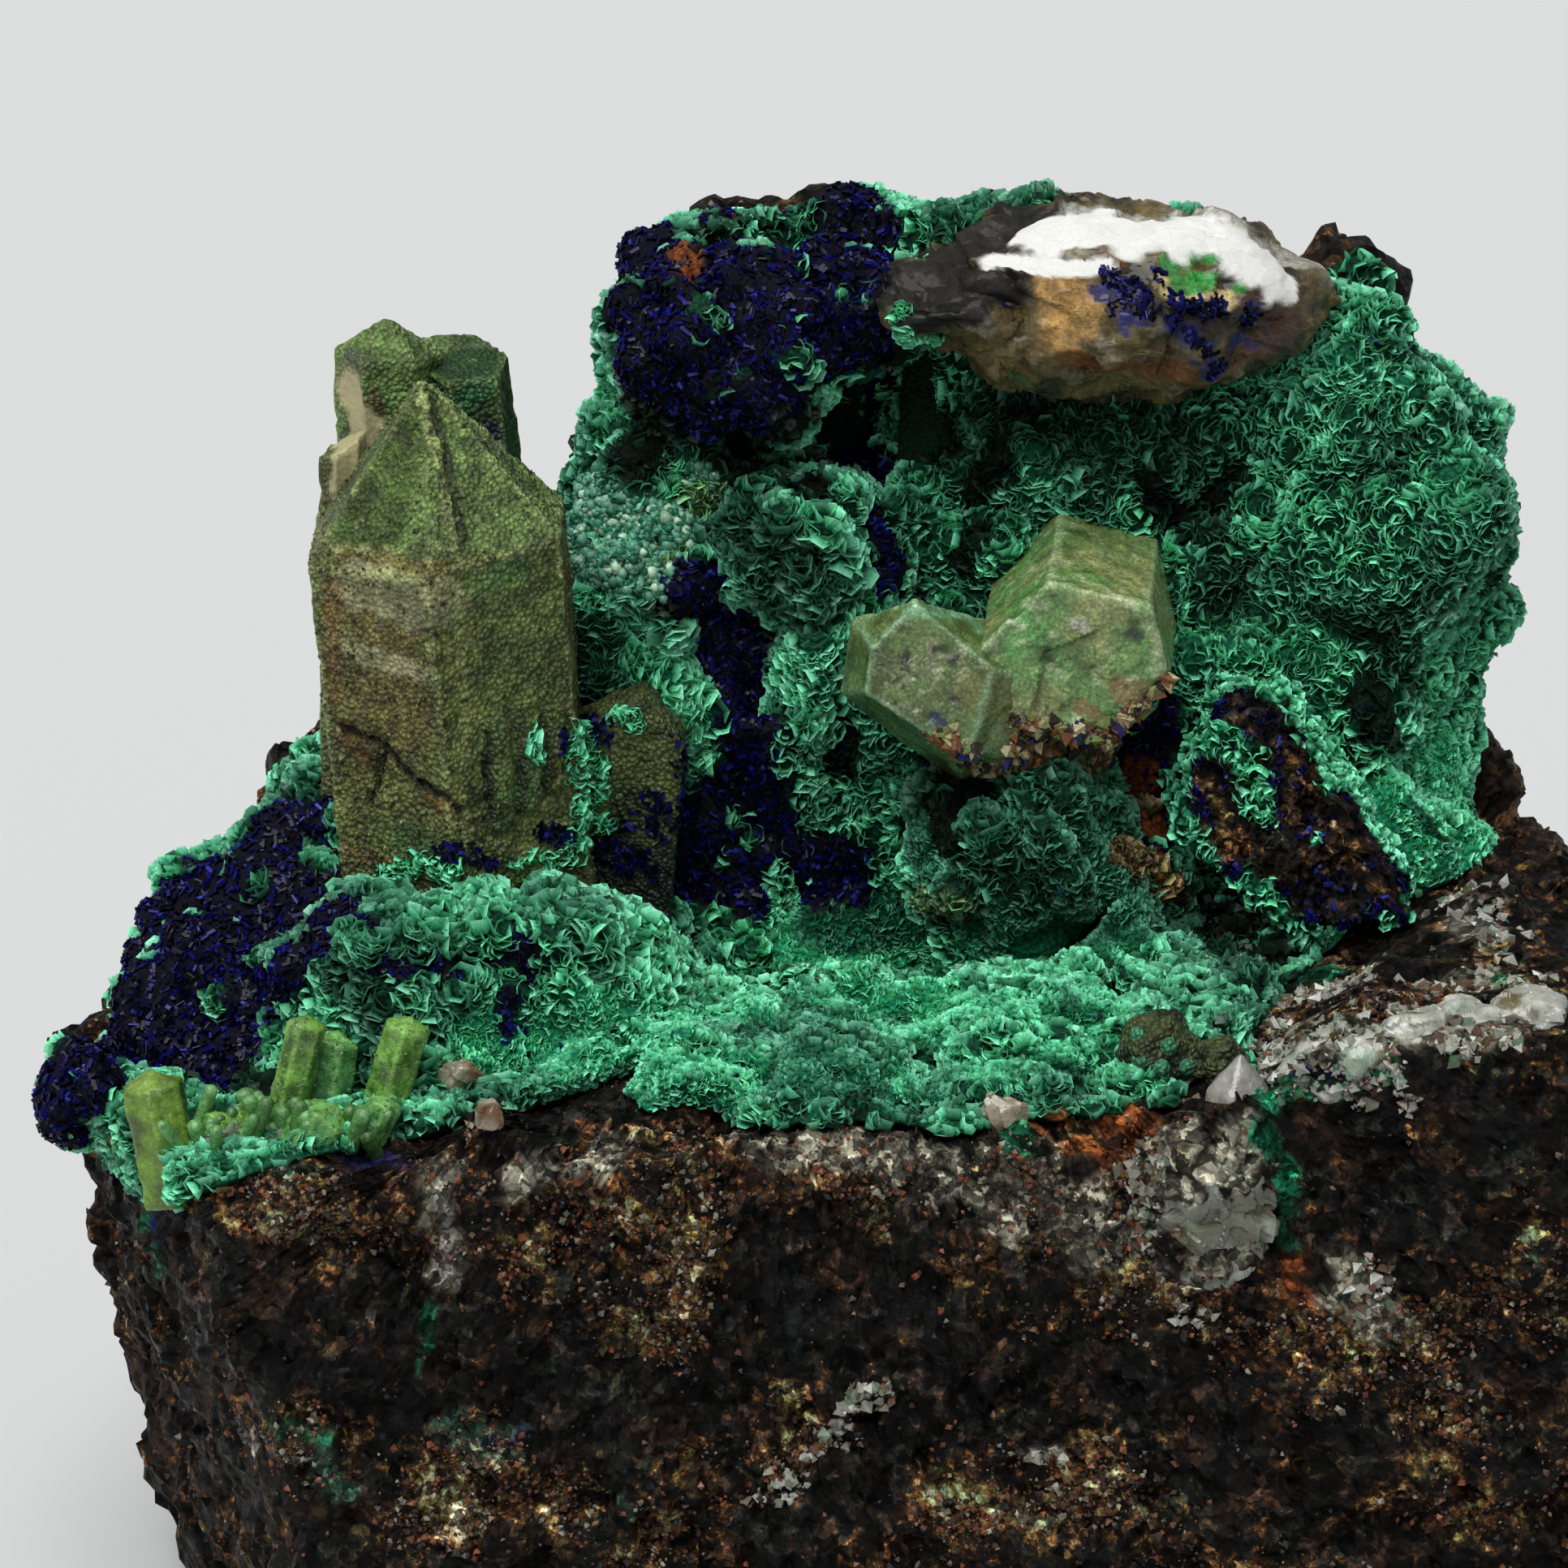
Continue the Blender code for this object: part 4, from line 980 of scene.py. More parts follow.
class Finish:
    # one material: its shader's own values, and any other node by its kind, settings and inputs
    def __init__(self, name, values):
        self.material = bpy.data.materials.new(name)
        self.material.use_nodes = True
        self.tree = self.material.node_tree
        self.shader = self.tree.nodes["Principled BSDF"]
        for entry, value in values.items():
            self.shader.inputs[entry].default_value = value

    def node(self, kind, settings, inputs, output=0):
        made = self.tree.nodes.new(kind)
        for key, value in settings.items():
            if key == "stops":
                ramp = made.color_ramp
                for place, shade in value[:-2]:
                    ramp.elements.new(place)
                for stop, (place, shade) in zip(ramp.elements, value):
                    stop.position = place
                    stop.color = (*shade, 1.0)
            else:
                setattr(made, key, value)
        for key, value in inputs.items():
            feed(self.tree, made.inputs[key], value)
        return Socket(self.tree, made.outputs[output])

    def place(self):
        return self.node("ShaderNodeTexCoord", {}, {}, "Object")

    def noise(self, size, detail=4.0, rough=0.55):
        # noise with swells of about this many millimetres, from 0 to 1
        return self.node("ShaderNodeTexNoise", {}, {"Vector": self.place(), "Scale": 1.0 / (size * mm),
                                                    "Detail": detail, "Roughness": rough}, 0)

    def facets(self, size):
        # a height with flat cells of about this size, each sloping its own way
        way = self.vector("SUBTRACT", self.place(), self.cells(size, output="Position"))
        tilt = self.vector("SUBTRACT", self.cells(size, output="Color"), (0.5, 0.5, 0.5))
        return self.vector("DOT_PRODUCT", way, tilt, "Value") * (1.0 / (size * mm))

    def warped(self, size, far):
        # the place, strayed by noise of this size by up to about this many millimetres
        stray = self.node("ShaderNodeTexNoise", {}, {"Vector": self.place(), "Scale": 1.0 / (size * mm),
                                                     "Detail": 3.0}, 1)
        stray = self.vector("SUBTRACT", stray, (0.5, 0.5, 0.5))
        return self.vector("ADD", self.place(), self.vector("MULTIPLY", stray, (4 * far * mm,) * 3))

    def fragments(self, size, place):
        # one random number from 0 to 1 for each angular fragment
        shade = self.cells(size, output=1, place=place)
        return self.vector("DOT_PRODUCT", shade, (1.0, 0.0, 0.0), "Value")

    def vector(self, operation, a, b, output=0):
        return self.node("ShaderNodeVectorMath", {"operation": operation}, {0: a, 1: b}, output)

    def cells(self, size, feature="F1", output=0, place=None):
        return self.node("ShaderNodeTexVoronoi", {"feature": feature},
                         {"Vector": place or self.place(), "Scale": 1.0 / (size * mm)}, output)

    def attribute(self, name, output="Color"):
        return self.node("ShaderNodeAttribute", {"attribute_name": name}, {}, output)

    def ramp(self, value, *stops):
        return self.node("ShaderNodeValToRGB", {"stops": stops}, {0: value})

    def scaled(self, value, low, high, newLow=0.0, newHigh=1.0):
        return self.node("ShaderNodeMapRange", {"clamp": True},
                         {"Value": value, "From Min": low, "From Max": high, "To Min": newLow,
                          "To Max": newHigh})

    def mixed(self, a, b, share, way="MIX"):
        a = a if isinstance(a, Socket) else (*a, 1.0)
        b = b if isinstance(b, Socket) else (*b, 1.0)
        return self.node("ShaderNodeMix", {"data_type": "RGBA", "blend_type": way},
                         {0: share, 6: a, 7: b}, 2)

    def grey(self, value):
        # a number as a grey, for multiplying a colour
        return self.node("ShaderNodeCombineColor", {}, {0: value, 1: value, 2: value})

    def shaded(self, base, value):
        return self.mixed(base, self.grey(value), 1.0, "MULTIPLY")

    def toned(self, base, value, low, high, dark, bright):
        # the colour times dark to bright, as the value goes from low to high
        return self.shaded(base, self.scaled(value, low, high, dark, bright))

    def bump(self, height, depth, strength=1.0):
        self.give("Normal", self.node("ShaderNodeBump", {}, {"Height": height, "Distance": depth * mm,
                                                             "Strength": strength}))

    def give(self, entry, value):
        feed(self.tree, self.shader.inputs[entry], value)


def rockFinish():
    # black rock with brown, rusty and pale grains, more of them where it is rich; where the
    # tint's fourth value is high the tint itself shows through the grain
    made = Finish("matrixRock", {"Roughness": 0.7, "Specular IOR Level": 0.14})
    rich = made.attribute("rich", "Fac")
    broad = made.noise(3.0, 8.0, 0.72)
    fine = made.noise(0.75, 6.0, 0.7)
    web = made.noise(1.3, 8.0, 0.8)
    warped = made.warped(1.2, 0.35)
    chip, flake, lump = (made.fragments(size, warped) for size in (0.55, 1.1, 2.4))
    crack = made.cells(2.4, "DISTANCE_TO_EDGE", place=warped)
    facet = made.facets(2.1) * 2.2 + made.facets(0.9) * 1.1
    level = broad * 0.58 + fine * 0.25 + web * 0.17 + (rich - 0.4) * 0.24
    level = level + (chip - 0.5) * 0.03 + (flake - 0.5) * 0.03
    base = made.ramp(level, (0.42, colour(20, 19, 19)), (0.51, colour(42, 37, 34)),
                     (0.548, colour(66, 43, 27)), (0.582, colour(120, 74, 38)),
                     (0.625, colour(142, 120, 80)), (0.70, colour(200, 190, 160)))
    rusty = made.scaled(made.noise(3.4, 5.0, 0.6), 0.51, 0.62, 0.0, 0.45)
    base = made.mixed(base, colour(74, 46, 26), rusty)
    green = made.scaled(made.noise(2.2, 3.0, 0.5), 0.42, 0.62)
    base = made.mixed(base, made.mixed(base, (0.72, 1.08, 0.90), 1.0, "MULTIPLY"), green)
    base = made.mixed(base, made.attribute("tint"), made.attribute("tint", "Alpha"))
    # each fragment lighter or darker at random: partly the grains' own tone, partly painted light and shade
    # of the facets
    for shade in (chip ** 2.0 * 2.0 + 0.33, flake ** 2.0 * 2.2 + 0.27, lump + 0.5):
        base = made.shaded(base, shade)
    base = made.toned(base, crack, 0.0, 0.07, 0.35, 1.0)
    made.give("Base Color", made.toned(base, fine, 0.3, 0.7, 0.50, 1.45))
    made.give("Roughness", chip * 0.55 + 0.22)
    made.bump((chip + flake + lump) * 0.2 + (fine + web) * 0.5 + facet * 1.8, 0.8)
    return made


def petalFinish():
    # the petal's own shade at its ridge, where the tint's fourth value is 1, and deeper green down
    # to its foot, where painted shade darkens it to near black
    made = Finish("malachitePetals", {"Roughness": 0.42, "Specular IOR Level": 0.4})
    grain = made.noise(0.16, 3.0, 0.6)
    level = made.attribute("tint", "Alpha")
    shade = made.attribute("tint")
    low = made.mixed(shade, (0.10, 0.66, 0.38), 1.0, "MULTIPLY")
    base = made.shaded(made.mixed(low, shade, level ** 1.2), level ** 0.6 * 0.96 + 0.04)
    made.give("Base Color", made.toned(base, grain, 0.3, 0.7, 0.75, 1.3))
    made.bump(grain, 0.06, 0.6)
    return made


def dustedQuartzFinish():
    # quartz under a fine green and brown dust of small grains
    made = Finish("dustedQuartz", {"Roughness": 0.42, "IOR": 1.544, "Specular IOR Level": 0.35,
                                   "Coat Weight": 0.05})
    mottle = made.noise(1.6, 6.0, 0.7)
    specks = made.cells(0.33)
    grain = made.noise(0.25, 4.0, 0.65)
    tint = made.attribute("tint")
    base = made.toned(tint, mottle, 0.34, 0.66, 0.55, 1.45)
    # grain tops painted lighter and the gaps between them darker: partly the dust's own tone, partly
    # painted light and shade
    base = made.toned(base, specks, 0.1, 0.6, 1.35, 0.62)
    base = made.toned(base, grain, 0.32, 0.68, 0.65, 1.35)
    bright = made.scaled(made.noise(0.5, 2.0, 0.5), 0.66, 0.74, 0.0, 0.5)
    base = made.mixed(base, colour(160, 172, 128), bright)
    dust = made.attribute("tint", "Alpha")
    made.give("Base Color", made.mixed(tint, base, dust))
    made.give("Roughness", made.scaled(grain, 0.3, 0.7, 0.3, 0.6))
    made.bump(((1.0 - specks) * 1.1 + grain * 0.5 + mottle * 0.5) * dust, 0.34)
    return made


def noduleFinish():
    # stained quartz; where the tint's fourth value is high it is plain and dull
    made = Finish("noduleQuartz", {"Roughness": 0.3, "IOR": 1.544, "Specular IOR Level": 0.2,
                                   "Coat Roughness": 0.08})
    mottle = made.noise(1.5, 7.0, 0.7)
    grain = made.noise(0.3, 4.0, 0.7)
    tint = made.attribute("tint")
    plain = made.attribute("tint", "Alpha")
    base = made.toned(tint, mottle, 0.32, 0.68, 0.5, 1.5)
    base = made.toned(base, grain, 0.3, 0.7, 0.6, 1.4)
    made.give("Base Color", made.mixed(base, tint, plain))
    made.give("Roughness", made.scaled(mottle, 0.35, 0.65, 0.12, 0.55) + plain * 0.35)
    made.give("Coat Weight", 0.35 - plain * 0.34)
    rise = mottle * 0.6 + grain * 0.3 + made.facets(1.8) * 2.6 + made.facets(0.7) * 1.2
    made.bump(rise * (1.0 - plain * 0.85), 0.5)
    return made


# Finishes that are the tint under layers of noise. A layer is the size, detail and roughness of
# its noise, or the size of its cells alone, then low, high, dark and bright as in toned, and how
# much it adds to the height. "rough" is the number of a layer and how its range becomes roughness.
layered = {
    "malachiteSkin": {
        "values": {"Roughness": 0.8, "Specular IOR Level": 0.15}, "bump": (0.22, 0.9),
        "layers": (((0.34,), 0.1, 0.75, 1.5, 0.45, -0.8), ((0.22, 3.0, 0.6), 0.3, 0.7, 0.75, 1.25, 0.35)),
    },
    "rockGrains": {
        "values": {"Roughness": 0.4, "Specular IOR Level": 0.5}, "bump": (0.08, 0.8),
        "layers": (((0.3, 4.0, 0.7), 0.3, 0.7, 0.5, 1.5, 1.0),),
    },
    "azuriteBlades": {
        "values": {"Roughness": 0.3, "IOR": 1.5, "Specular IOR Level": 0.14}, "bump": (0.03, 0.4),
        "layers": (((0.5, 3.0, 0.6), 0.3, 0.7, 0.6, 1.5, 1.0),),
    },
    "paleQuartz": {
        "values": {"IOR": 1.544, "Transmission Weight": 0.12, "Coat Weight": 0.35, "Coat Roughness": 0.15},
        "layers": (((1.3, 6.0, 0.7), 0.34, 0.66, 0.58, 1.40, 0.5), ((0.24,), 0.1, 0.65, 1.25, 0.70, -0.4),
                   ((0.22, 4.0, 0.7), 0.3, 0.7, 0.7, 1.3, 0.5)),
        "rough": (2, 0.3, 0.7, 0.14, 0.42), "bump": (0.12, 0.8),
    },
    "greenQuartz": {
        "values": {"IOR": 1.544, "Transmission Weight": 0.25, "Coat Weight": 0.3, "Coat Roughness": 0.12},
        "layers": (((1.0, 5.0, 0.65), 0.32, 0.68, 0.6, 1.45, 0.4),
                   ((0.3, 4.0, 0.65), 0.3, 0.7, 0.75, 1.3, 0.7)),
        "rough": (1, 0.3, 0.7, 0.16, 0.45), "bump": (0.20, 1.0), "facets": (0.5, 0.5),
    },
    "clearQuartz": {
        "values": {"IOR": 1.544, "Transmission Weight": 0.55, "Coat Weight": 0.3},
        "layers": (((1.2, 5.0, 0.65), 0.32, 0.68, 0.65, 1.3, 0.7),
                   ((0.4, 4.0, 0.7), 0.3, 0.7, 1.0, 1.0, 0.4)),
        "rough": (0, 0.35, 0.65, 0.06, 0.35), "bump": (0.16, 0.7),
    },
}


def layeredFinish(name):
    own = layered[name]
    made = Finish(name, own["values"])
    base, height, levels = made.attribute("tint"), 0.0, []
    for grain, *tones, rise in own["layers"]:
        level = made.noise(*grain) if len(grain) > 1 else made.cells(*grain)
        base = made.toned(base, level, *tones)
        height = level * rise + height
        levels.append(level)
    made.give("Base Color", base)
    if "rough" in own:
        number, *spread = own["rough"]
        made.give("Roughness", made.scaled(levels[number], *spread))
    if "facets" in own:
        size, rise = own["facets"]
        height = height + made.facets(size) * rise
    made.bump(height, *own["bump"])
    return made


rockLook = rockFinish()
petalLook = petalFinish()
dustedLook = dustedQuartzFinish()
noduleLook = noduleFinish()
crustLook, grainLook, azuriteLook, paleLook, greenLook, clearLook = map(layeredFinish, layered)
print("finishes made")

shades = {
    "rockDark": colour(34, 28, 25),
    "rockBrown": colour(70, 50, 34),
    "rockRust": colour(150, 82, 40),
    "rockGrey": colour(164, 162, 142),
    "rockCream": colour(206, 192, 156),
    "rockWhite": colour(222, 220, 210),
    "malachiteDeep": np.array([0.0006, 0.014, 0.006]),
    "malachiteMid": np.array([0.012, 0.23, 0.105]),
    "malachitePale": np.array([0.36, 0.97, 0.66]),
    "terraceMid": np.array([0.020, 0.40, 0.190]),
    "terracePale": np.array([0.34, 0.98, 0.66]),
    "azuriteDeep": np.array([0.0008, 0.0006, 0.006]),
    "azuriteBlue": np.array([0.003, 0.004, 0.098]),
    # painted glint: the pale blue of a few azurite blades
    "azuritePaintedGlint": np.array([0.06, 0.08, 0.48]),
    "granule": np.array([0.085, 0.27, 0.18]),
    "olive": np.array([0.20, 0.26, 0.11]),
}

# Strokes on the bare rock, each row with its shade and how much of it there is
rockStrokes = (
    ("rockBrown", 0.7, (60, 1500, 880, 1600, 960, 1700, 1050), (70, 1850, 900, 1860, 1020),
     (50, 1640, 340, 1700, 370)),
    ("rockRust", 0.8, (24, 1270, 1370, 1330, 1360, 1410, 1390), (24, 1770, 395, 1800, 410),
     (16, 1310, 1400, 1380, 1420), (16, 1590, 1560, 1600, 1600)),
    ("rockCream", 0.7, (24, 1580, 1280, 1650, 1275, 1750, 1265, 1880, 1255), (22, 555, 1330, 585, 1360),
     (14, 1240, 1400, 1280, 1440)),
    ("rockGrey", 0.85, (40, 920, 1390, 1100, 1425, 1240, 1470), (50, 1280, 1480, 1360, 1530),
     (26, 640, 1450, 760, 1410), (24, 545, 1450, 550, 1560), (40, 1600, 1290, 1880, 1240),
     (50, 1440, 1400, 1460, 1460, 1480, 1540), (40, 1530, 1400, 1520, 1540), (34, 1670, 1590, 1700, 1620),
     (28, 1540, 1320, 1620, 1310, 1690, 1310), (30, 1790, 1120, 1830, 1140), (22, 1100, 1420, 1180, 1440),
     (20, 940, 1400, 1000, 1430), (22, 1200, 1480, 1280, 1520), (20, 1800, 1200, 1830, 1210)),
    ("rockWhite", 0.7, (14, 1420, 1560, 1470, 1580), (8, 1500, 1500, 1530, 1490), (10, 1690, 1610),
     (10, 1262, 1790, 1300, 1790), (12, 290, 1760, 330, 1790), (7, 548, 1470, 552, 1560)),
    ("malachiteMid", 0.75, (26, 1570, 1340, 1640, 1340, 1690, 1320), (18, 1560, 1400, 1580, 1440),
     (7, 525, 1610, 535, 1650, 512, 1690), (14, 330, 1760, 400, 1770), (20, 1560, 1190, 1640, 1200),
     (16, 1840, 1190, 1890, 1210), (20, 1250, 1380, 1262, 1420), (14, 1590, 1450, 1580, 1520)),
    ("granule", 0.45, (26, 560, 1760, 640, 1790), (16, 380, 1800, 430, 1830), (12, 760, 1850, 775, 1870),
     (14, 1880, 1530, 1890, 1560), (14, 340, 1440, 400, 1440)),
    ("malachiteMid", 0.55, (22, 150, 1440, 175, 1500), (16, 180, 1520, 190, 1580),
     (14, 230, 1440, 300, 1440)),
    ("azuriteBlue", 0.5, (14, 430, 1430, 500, 1425), (8, 1600, 1320, 1680, 1330), (9, 610, 1780, 650, 1770),
     (12, 185, 1480, 195, 1530), (9, 560, 1390, 600, 1400)),
)

# Where the rock is rich in grains, and where it is black
richStrokes = (
    (60, 300, 1480, 430, 1490, 560, 1480, 700, 1490), (60, 660, 1550, 850, 1560, 820, 1640),
    (55, 750, 1410, 900, 1430, 1050, 1440, 1230, 1460, 1360, 1500),
    (45, 1380, 1600, 1500, 1640, 1620, 1650, 1740, 1640), (50, 300, 1740, 420, 1790, 600, 1800, 780, 1880),
    (28, 900, 1860, 970, 1800, 1040, 1750, 1090, 1710), (45, 1180, 1840, 1300, 1810, 1420, 1850),
    (50, 1600, 1700, 1750, 1720, 1900, 1760), (40, 1740, 1640, 1880, 1560), (40, 480, 1880, 560, 1900),
    (50, 1560, 1250, 1700, 1230, 1880, 1200),
)
blackStrokes = (
    (90, 980, 1600, 1060, 1680, 1180, 1620), (90, 1200, 1740, 1420, 1720),
    (80, 1650, 1420, 1800, 1440, 1840, 1540), (44, 640, 1370, 690, 1380), (50, 430, 1620, 520, 1690),
    (34, 240, 1490, 270, 1580), (60, 700, 1740, 830, 1740), (40, 1700, 1190, 1770, 1180),
    (60, 1500, 1800, 1620, 1860),
)


def rockTints(rings):
    # the shade of each stroke, how far it covers, and how rich the grain is
    shade = np.broadcast_to(shades["rockBrown"], rings.shape)
    cover = np.zeros(rings.shape[:-1])
    for name, amount, *strokes in rockStrokes:
        zone = inZone(rings, ground.along(strokes), 0.55, 1.4)
        shade = blended(shade, shades[name], zone)
        cover = np.maximum(cover, amount * zone)
    rich = 0.34 + 0.22 * fractal(rings, 4.0, 91, 5)
    rich = rich + 0.30 * inZone(rings, ground.along(richStrokes), 0.9, 3.0)
    rich = rich - 0.17 * inZone(rings, ground.along(blackStrokes), 0.9, 3.0)
    return np.concatenate([shade, cover[..., None]], axis=-1), rich


def makeRock():
    tint, rich = rockTints(rockSkin)
    piece = makeSkin("matrixRock", [formOf(rockSkin, tint)], rockLook, False, rich)
    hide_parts("matrix_rock")
    return rich


def blockSkin():
    planes = [(normal, np.asarray(place) - rock["blockBack"] * unit(normal))
              for normal, place in rock["remnant"]]
    rings = convexRings(planes, (30.0, 1.0, 55.0), (0.1, 0.2, 1.0), 3.0, 150, 190, 0.5)
    return pushed(rings, chipped(rings, ((0.55, 2.6, 15), (0.32, 1.1, 16), (0.16, 0.5, 17))))


# The bare face of the broken block, in the picture's pixels; malachite has grown over the rest
blockBare = (
    (24, 1520, 865, 1560, 885, 1580, 930, 1590, 985), (36, 1600, 1000, 1650, 1015, 1690, 1035),
    (34, 1560, 1045, 1640, 1075, 1700, 1085), (26, 1505, 1015, 1535, 1050), (20, 1490, 955, 1500, 1000),
    (18, 1650, 1120, 1610, 1105),
)


def blockZones(rings):
    own = Ground(rings)
    bare = inZone(rings, own.along(blockBare), 0.5, 1.4)
    wide = inZone(rings, own.along([(width + 8, *stops) for width, *stops in blockBare]), 0.5, 1.4)
    blue = wide * (1 - 0.7 * bare) * patches(rings, -0.1, 0.3, 1.5, 96, 3)
    return np.maximum(1 - wide, 0), blue


def makeBlock(rings):
    moss, blue = blockZones(rings)
    shade = painted(rings, "rockBrown", (shades["malachiteMid"] * 0.8, moss), ("azuriteBlue", blue))
    tint = np.concatenate([shade, np.maximum(moss, 0.8 * blue)[..., None] * 0.9], axis=-1)
    rich = 0.46 + 0.16 * fractal(rings, 3.0, 95, 4)
    makeSkin("brownBlock", [formOf(rings, tint)], rockLook, False, rich)


def zoneShares(points):
    return {name: inZone(points, zone) for name, zone in crustZones.items()}


def crustTints(points, shares, level):
    # malachite, painted darker as shade where the rosettes stand back and in the gaps between them, then
    # each zone's own shade
    tint = painted(points, shades["malachiteDeep"] * 0.6,
                   (shades["malachiteMid"] * 0.2, smoothStep(-0.5, 0.5, level)),
                   (shades["terraceMid"] * 0.34, 0.7 * shares["fine"]),
                   (shades["granule"] * 0.6, 0.7 * shares["granules"]),
                   (shades["olive"] * 0.7, 0.7 * shares["olive"]),
                   ("azuriteDeep", shares["azurite"] * (1 - shares["tufts"])),
                   (shades["rockRust"] * 0.8, 0.8 * shares["rust"]))
    # painted shadow, painted shade and painted light from the zones drawn for them
    lit = (1 - 0.9 * shares["dark"]) * (1 - 0.5 * shares["paintedShade"]) * (1 + 1.2 * shares["bright"])
    return tint * lit[..., None]


def reliefOf(points, shares):
    relief = rosettes(points, crust["clusters"])
    calm = 1 - 0.55 * shares["fine"]
    return relief * calm * (1 - 0.3 * shares["azurite"])


def makeCrust():
    shares = zoneShares(crustTop)
    relief = reliefOf(crustTop, shares)
    top = pushed(crustTop, relief * crustInward)
    tint = crustTints(crustTop, shares, relief)
    under = np.broadcast_to(shades["malachiteDeep"], crustUnder.shape)
    whole = formOf(np.concatenate([top, crustUnder]), np.concatenate([tint, under]))
    piece = makeSkin("malachiteSkin", [whole], crustLook)
    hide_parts("malachite_azurite_crust")
    lumps, skins = [], []
    for base in lumpRings:
        lumpShares = zoneShares(base)
        rise = reliefOf(base, lumpShares)
        lumps.append(pushed(base, rise))
        skins.append(formOf(lumps[-1], crustTints(base, lumpShares, rise)))
    makeSkin("malachiteLumps", skins, crustLook)
    return top, lumps


rockRich = makeRock()
blockRings = blockSkin()
makeBlock(blockRings)
crustDressed, lumpsDressed = makeCrust()
print("skins made")


# Quartz crystals, from the same faces as the solids
crystals = {
    "prism": {
        "foot": (-21.0, 0.5, 44.0), "tip": (-24.0, 0.5, 82.0), "radii": (7.9, 7.6, 7.7, 7.7, 7.6, 7.6),
        "tops": (0.0, 0.0, 0.0, -0.4, 0.2, 0.0),
    },
    "rearLeft": {
        "foot": (-26.6, 8.0, 50.0), "tip": (-26.6, 8.0, 83.6), "radii": (2.6, 3.0, 3.2, 3.0, 3.0, 2.8),
        "spin": 0.5, "pitch": math.radians(55),
    },
    "rearRight": {
        "foot": (-19.0, 9.0, 50.0), "tip": (-22.2, 9.0, 80.8), "radii": (2.7,) * 6, "spin": 0.2,
        "end": (0.10, -0.25, 1.0),
    },
    "flake": {
        "foot": (-29.6, 5.0, 52.0), "tip": (-29.2, 5.0, 76.5), "radii": (1.3,) * 6, "spin": 0.3,
        "end": (-0.6, 0.0, 1.0),
    },
    "plate": {"foot": (-12.6, 1.0, 46.0), "tip": (-11.3, 0.0, 62.0), "halfWidth": 3.4,
              "halfThickness": 1.8},
    "pairRight": {
        "foot": (17.4, 12.0, 65.4), "tip": (16.0, -2.6, 64.6), "radii": (4.6, 5.1, 5.0, 4.6, 5.6, 5.0),
        "spin": math.radians(-15), "end": (0.04, -0.99, 0.06),
    },
    "pairLeft": {
        "foot": (16.0, 6.0, 57.5), "tip": (2.6, -5.0, 65.0), "radii": (4.5,) * 6, "spin": 0.2,
    },
    # broad end face of the left one of the pair, its left and top cuts, and where each runs through
    "pairLeftEnd": (
        ((-0.06, -0.96, 0.26), (8.0, -4.0, 64.4)), ((-0.93, -0.30, 0.20), (2.9, -3.0, 64.5)),
        ((-0.62, -0.30, 0.72), (4.6, -3.0, 67.2)), ((-0.55, -0.45, -0.70), (4.6, -3.4, 61.6)),
    ),
    "stub": {
        "foot": (21.8, -20.6, 44.5), "tip": (18.8, -20.2, 48.6), "radii": (2.1,) * 6, "spin": 0.3,
        "pitch": math.radians(62),
    },
    "lowStub": {
        "foot": (24.8, -21.0, 44.6), "tip": (22.8, -20.8, 47.2), "radii": (1.6,) * 6, "spin": 0.1,
        "pitch": math.radians(62),
    },
    "rimPrism": {"foot": (24.4, -25.9, 40.0), "tip": (24.9, -25.6, 48.4), "radii": (1.75,) * 6,
                 "spin": 0.3},
    # foot, tip and radius of each sprig
    "sprigs": (
        ((-38.4, -22.4, 37.5), (-39.8, -21.4, 45.6), 1.7),
        ((-32.4, -21.5, 40.0), (-30.3, -19.6, 48.4), 1.05),
        ((-29.8, -19.0, 41.0), (-28.8, -17.6, 46.6), 1.35),
        ((-26.4, -20.4, 41.0), (-24.3, -19.4, 48.2), 1.3),
        ((-31.4, -23.2, 40.0), (-28.6, -22.8, 43.9), 1.5),
        ((-27.6, -22.8, 40.0), (-25.4, -22.6, 44.4), 0.95),
        ((-35.2, -22.6, 39.0), (-33.3, -21.6, 43.8), 0.8),
        ((-36.8, -22.8, 39.0), (-35.5, -21.8, 43.2), 0.8),
    ),
    "sprigSpin": 0.4,
    "twigs": 44,  # small crystals between the sprigs
    "sprigRoot": ((-32.4, -21.4, 40.4), (7.2, 2.2, 2.4)),
    # centre and radius of each ball on the stub
    "stubBalls": (
        ((19.2, -22.2, 46.6), 0.60), ((20.4, -22.6, 46.2), 0.55), ((19.0, -21.8, 48.0), 0.50),
        ((20.8, -22.2, 47.4), 0.55), ((21.9, -22.5, 46.2), 0.50),
    ),
    "grain": {"centre": (23.4, -26.2, 39.2), "radii": (4.4, 3.0, 6.4), "seed": 41},
    # place in the picture, radii and seed of each small grain on the rim
    "rimGrains": ((568, 1335, (1.7, 1.2, 2.0), 271), (598, 1372, (1.0, 0.9, 1.2), 272),
                  (1235, 1372, (1.6, 1.1, 1.7), 273)),
    # centre and radii of each grain of the seam
    "seam": (
        ((29.4, -25.0, 46.9), (2.6, 2.4, 1.9)), ((32.2, -25.4, 48.0), (2.8, 2.4, 2.1)),
        ((35.0, -24.8, 49.2), (3.2, 2.6, 2.2)), ((38.6, -24.0, 49.4), (3.2, 2.4, 1.9)),
        ((42.0, -22.6, 49.6), (2.8, 2.4, 1.8)),
    ),
    "seamSeed": 51,
    # centre, radii and waves of the nodule and of its plate
    "nodule": ((18.6, 11.5, 83.8), (12.6, 7.4, 5.9), (0.5, 6.0, 21)),
    "nodulePlate": ((9.0, 10.5, 84.4), (6.2, 6.0, 2.3), (0.4, 6.0, 22)),
}


def pairLeftFaces():
    # the six sides of the left crystal of the pair, with its own broken end in place of a point
    sizes = crystals["pairLeft"]
    return crystalPlanes(**sizes, end=(-0.7, -0.6, 0.4))[:-1] + list(crystals["pairLeftEnd"])


